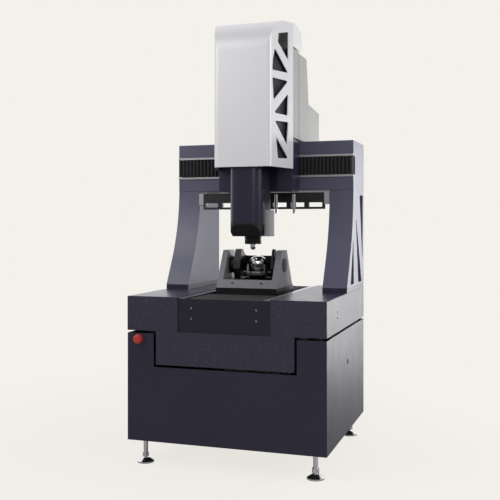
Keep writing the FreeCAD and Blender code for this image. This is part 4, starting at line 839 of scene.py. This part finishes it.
@dataclass
class Studio:
    """The pale room: floor, lamps, world and camera."""

    pale: Colour = tone(244, 241, 235)
    camera_spot: Point = (1.2343, -3.8281, 1.1255)
    camera_turn: float = 18.15
    lens: float = 57.02
    shift: float = -0.049

    def build(self) -> None:
        """Build the whole room."""
        self.camera()
        self.world()
        self.floor()
        self.lamps()
        bpy.context.scene.view_settings.view_transform = "Standard"

    def camera(self) -> None:
        """Place the camera."""
        data = bpy.data.cameras.new("camera")
        data.lens = self.lens
        data.sensor_width = 36.0
        data.shift_y = self.shift
        data.clip_end = 60.0
        camera = bpy.data.objects.new("camera", data)
        camera.location = self.camera_spot
        camera.rotation_euler = (math.radians(90), 0.0, math.radians(self.camera_turn))
        bpy.context.scene.collection.objects.link(camera)
        bpy.context.scene.camera = camera

    def world(self) -> None:
        """Light the room softly, with the pale ground as what the camera sees."""
        world = bpy.data.worlds.new("room")
        world.use_nodes = True
        world.node_tree.nodes.clear()
        graph = Graph(world.node_tree)
        path = graph.add("LightPath")
        soft = graph.add("Background", Color=(0.9, 0.91, 0.95), Strength=0.42)
        way = graph.add("SeparateXYZ", Vector=graph.add("TexCoord").outputs["Generated"])
        behind = graph.ramp(way.outputs["Y"], -0.5, 0.6)
        leftward = graph.ramp(way.outputs["X"], 0.37, 0.27)
        open_side = graph.math("MULTIPLY", behind, leftward)
        strength = graph.math("MULTIPLY_ADD", open_side, 0.95, 0.3)
        glossy = graph.add("Background", Color=(0.88, 0.88, 0.9), Strength=strength)
        seen = graph.add("Background", Color=self.pale, Strength=1.0)
        shiny = graph.math("MAXIMUM", path.outputs["Is Glossy Ray"], path.outputs["Is Transmission Ray"])
        first = graph.add("MixShader", Fac=shiny)
        graph.feed(first.inputs[1], soft)
        graph.feed(first.inputs[2], glossy)
        second = graph.add("MixShader", Fac=path.outputs["Is Camera Ray"])
        graph.feed(second.inputs[1], first)
        graph.feed(second.inputs[2], seen)
        graph.add("OutputWorld", Surface=second)
        bpy.context.scene.world = world

    def floor(self) -> None:
        """Lay a wide pale floor that keeps the machine's shadow."""
        shape = Shape()
        size = 14.0
        shape.mesh.faces.new([shape.mesh.verts.new(corner) for corner in
                              ((-size, -size, 0), (size, -size, 0), (size, size, 0), (-size, size, 0))])
        data = bpy.data.meshes.new("floor")
        shape.mesh.to_mesh(data)
        shape.mesh.free()
        made = bpy.data.materials.new("studio_floor")
        made.use_nodes = True
        made.node_tree.nodes.clear()
        graph = Graph(made.node_tree)
        place = graph.add("TexCoord").outputs["Object"]
        reach = graph.add("VectorMath", {"operation": "LENGTH"})
        graph.feed(reach.inputs[0], place)
        far = graph.ramp(reach.outputs["Value"], 0.9, 2.6)
        matt = graph.add("BsdfDiffuse", Color=(0.14, 0.137, 0.132))
        near_glow = graph.add("Emission", Color=self.pale, Strength=0.87)
        both = graph.add("AddShader")
        graph.feed(both.inputs[0], matt)
        graph.feed(both.inputs[1], near_glow)
        pure = graph.add("Emission", Color=self.pale, Strength=1.0)
        faded = graph.add("MixShader", Fac=far)
        graph.feed(faded.inputs[1], both)
        graph.feed(faded.inputs[2], pure)
        plain = graph.add("BsdfDiffuse", Color=(0.55, 0.54, 0.52))
        path = graph.add("LightPath")
        shown = graph.add("MixShader", Fac=path.outputs["Is Camera Ray"])
        graph.feed(shown.inputs[1], plain)
        graph.feed(shown.inputs[2], faded)
        graph.add("OutputMaterial", Surface=shown)
        data.materials.append(made)
        floor = bpy.data.objects.new("floor", data)
        bpy.context.scene.collection.objects.link(floor)

    def lamps(self) -> None:
        """Hang the softboxes."""
        self.softbox("key", (-2.6, -2.6, 3.4), (0.0, 0.0, 1.2), 2.6, 2.0, 58.0)
        self.softbox("right_strip", (2.15, 3.0, 0.95), (0.45, 0.0, 0.8), 1.1, 1.9, 62.0)
        self.softbox("right_fill", (4.2, 0.2, 2.7), (0.0, 0.0, 1.8), 1.6, 1.6, 48.0)
        self.softbox("front_fill", (1.6, -4.2, 2.6), (0.0, 0.0, 1.1), 2.4, 1.8, 22.0)

    @staticmethod
    def softbox(name: str, spot: Point, target: Point, width: float, height: float, power: float) -> None:
        """Hang one softbox.

        Args:
            name: Its name.
            spot: Where it hangs.
            target: What it points at.
            width, height: Its size.
            power: Its power in watts.
        """
        data = bpy.data.lights.new(name, "AREA")
        data.shape = "RECTANGLE"
        data.size = width
        data.size_y = height
        data.energy = power
        lamp = bpy.data.objects.new(name, data)
        lamp.location = spot
        lamp.rotation_euler = (Vector(target) - Vector(spot)).to_track_quat("-Z", "Y").to_euler()
        lamp.visible_camera = False
        bpy.context.scene.collection.objects.link(lamp)


def main() -> None:
    """Build every sub-assembly in order."""
    logging.basicConfig(level=logging.INFO, format="%(name)s: %(message)s")
    Studio().build()
    dress_nodes()
    for way in (Bellows("x_bellows_left", "x_carriage", 0, True, 1, -1.0),
                Bellows("x_bellows_right", "x_carriage", 0, False, 1, -1.0),
                Bellows("y_bellows_front", "y_slide", 1, True, 2, 1.0),
                Bellows("y_bellows_rear", "y_slide", 1, False, 2, 1.0)):
        way.build()
    socket_screws()
    workpiece()


if __name__ == "__main__":
    main()
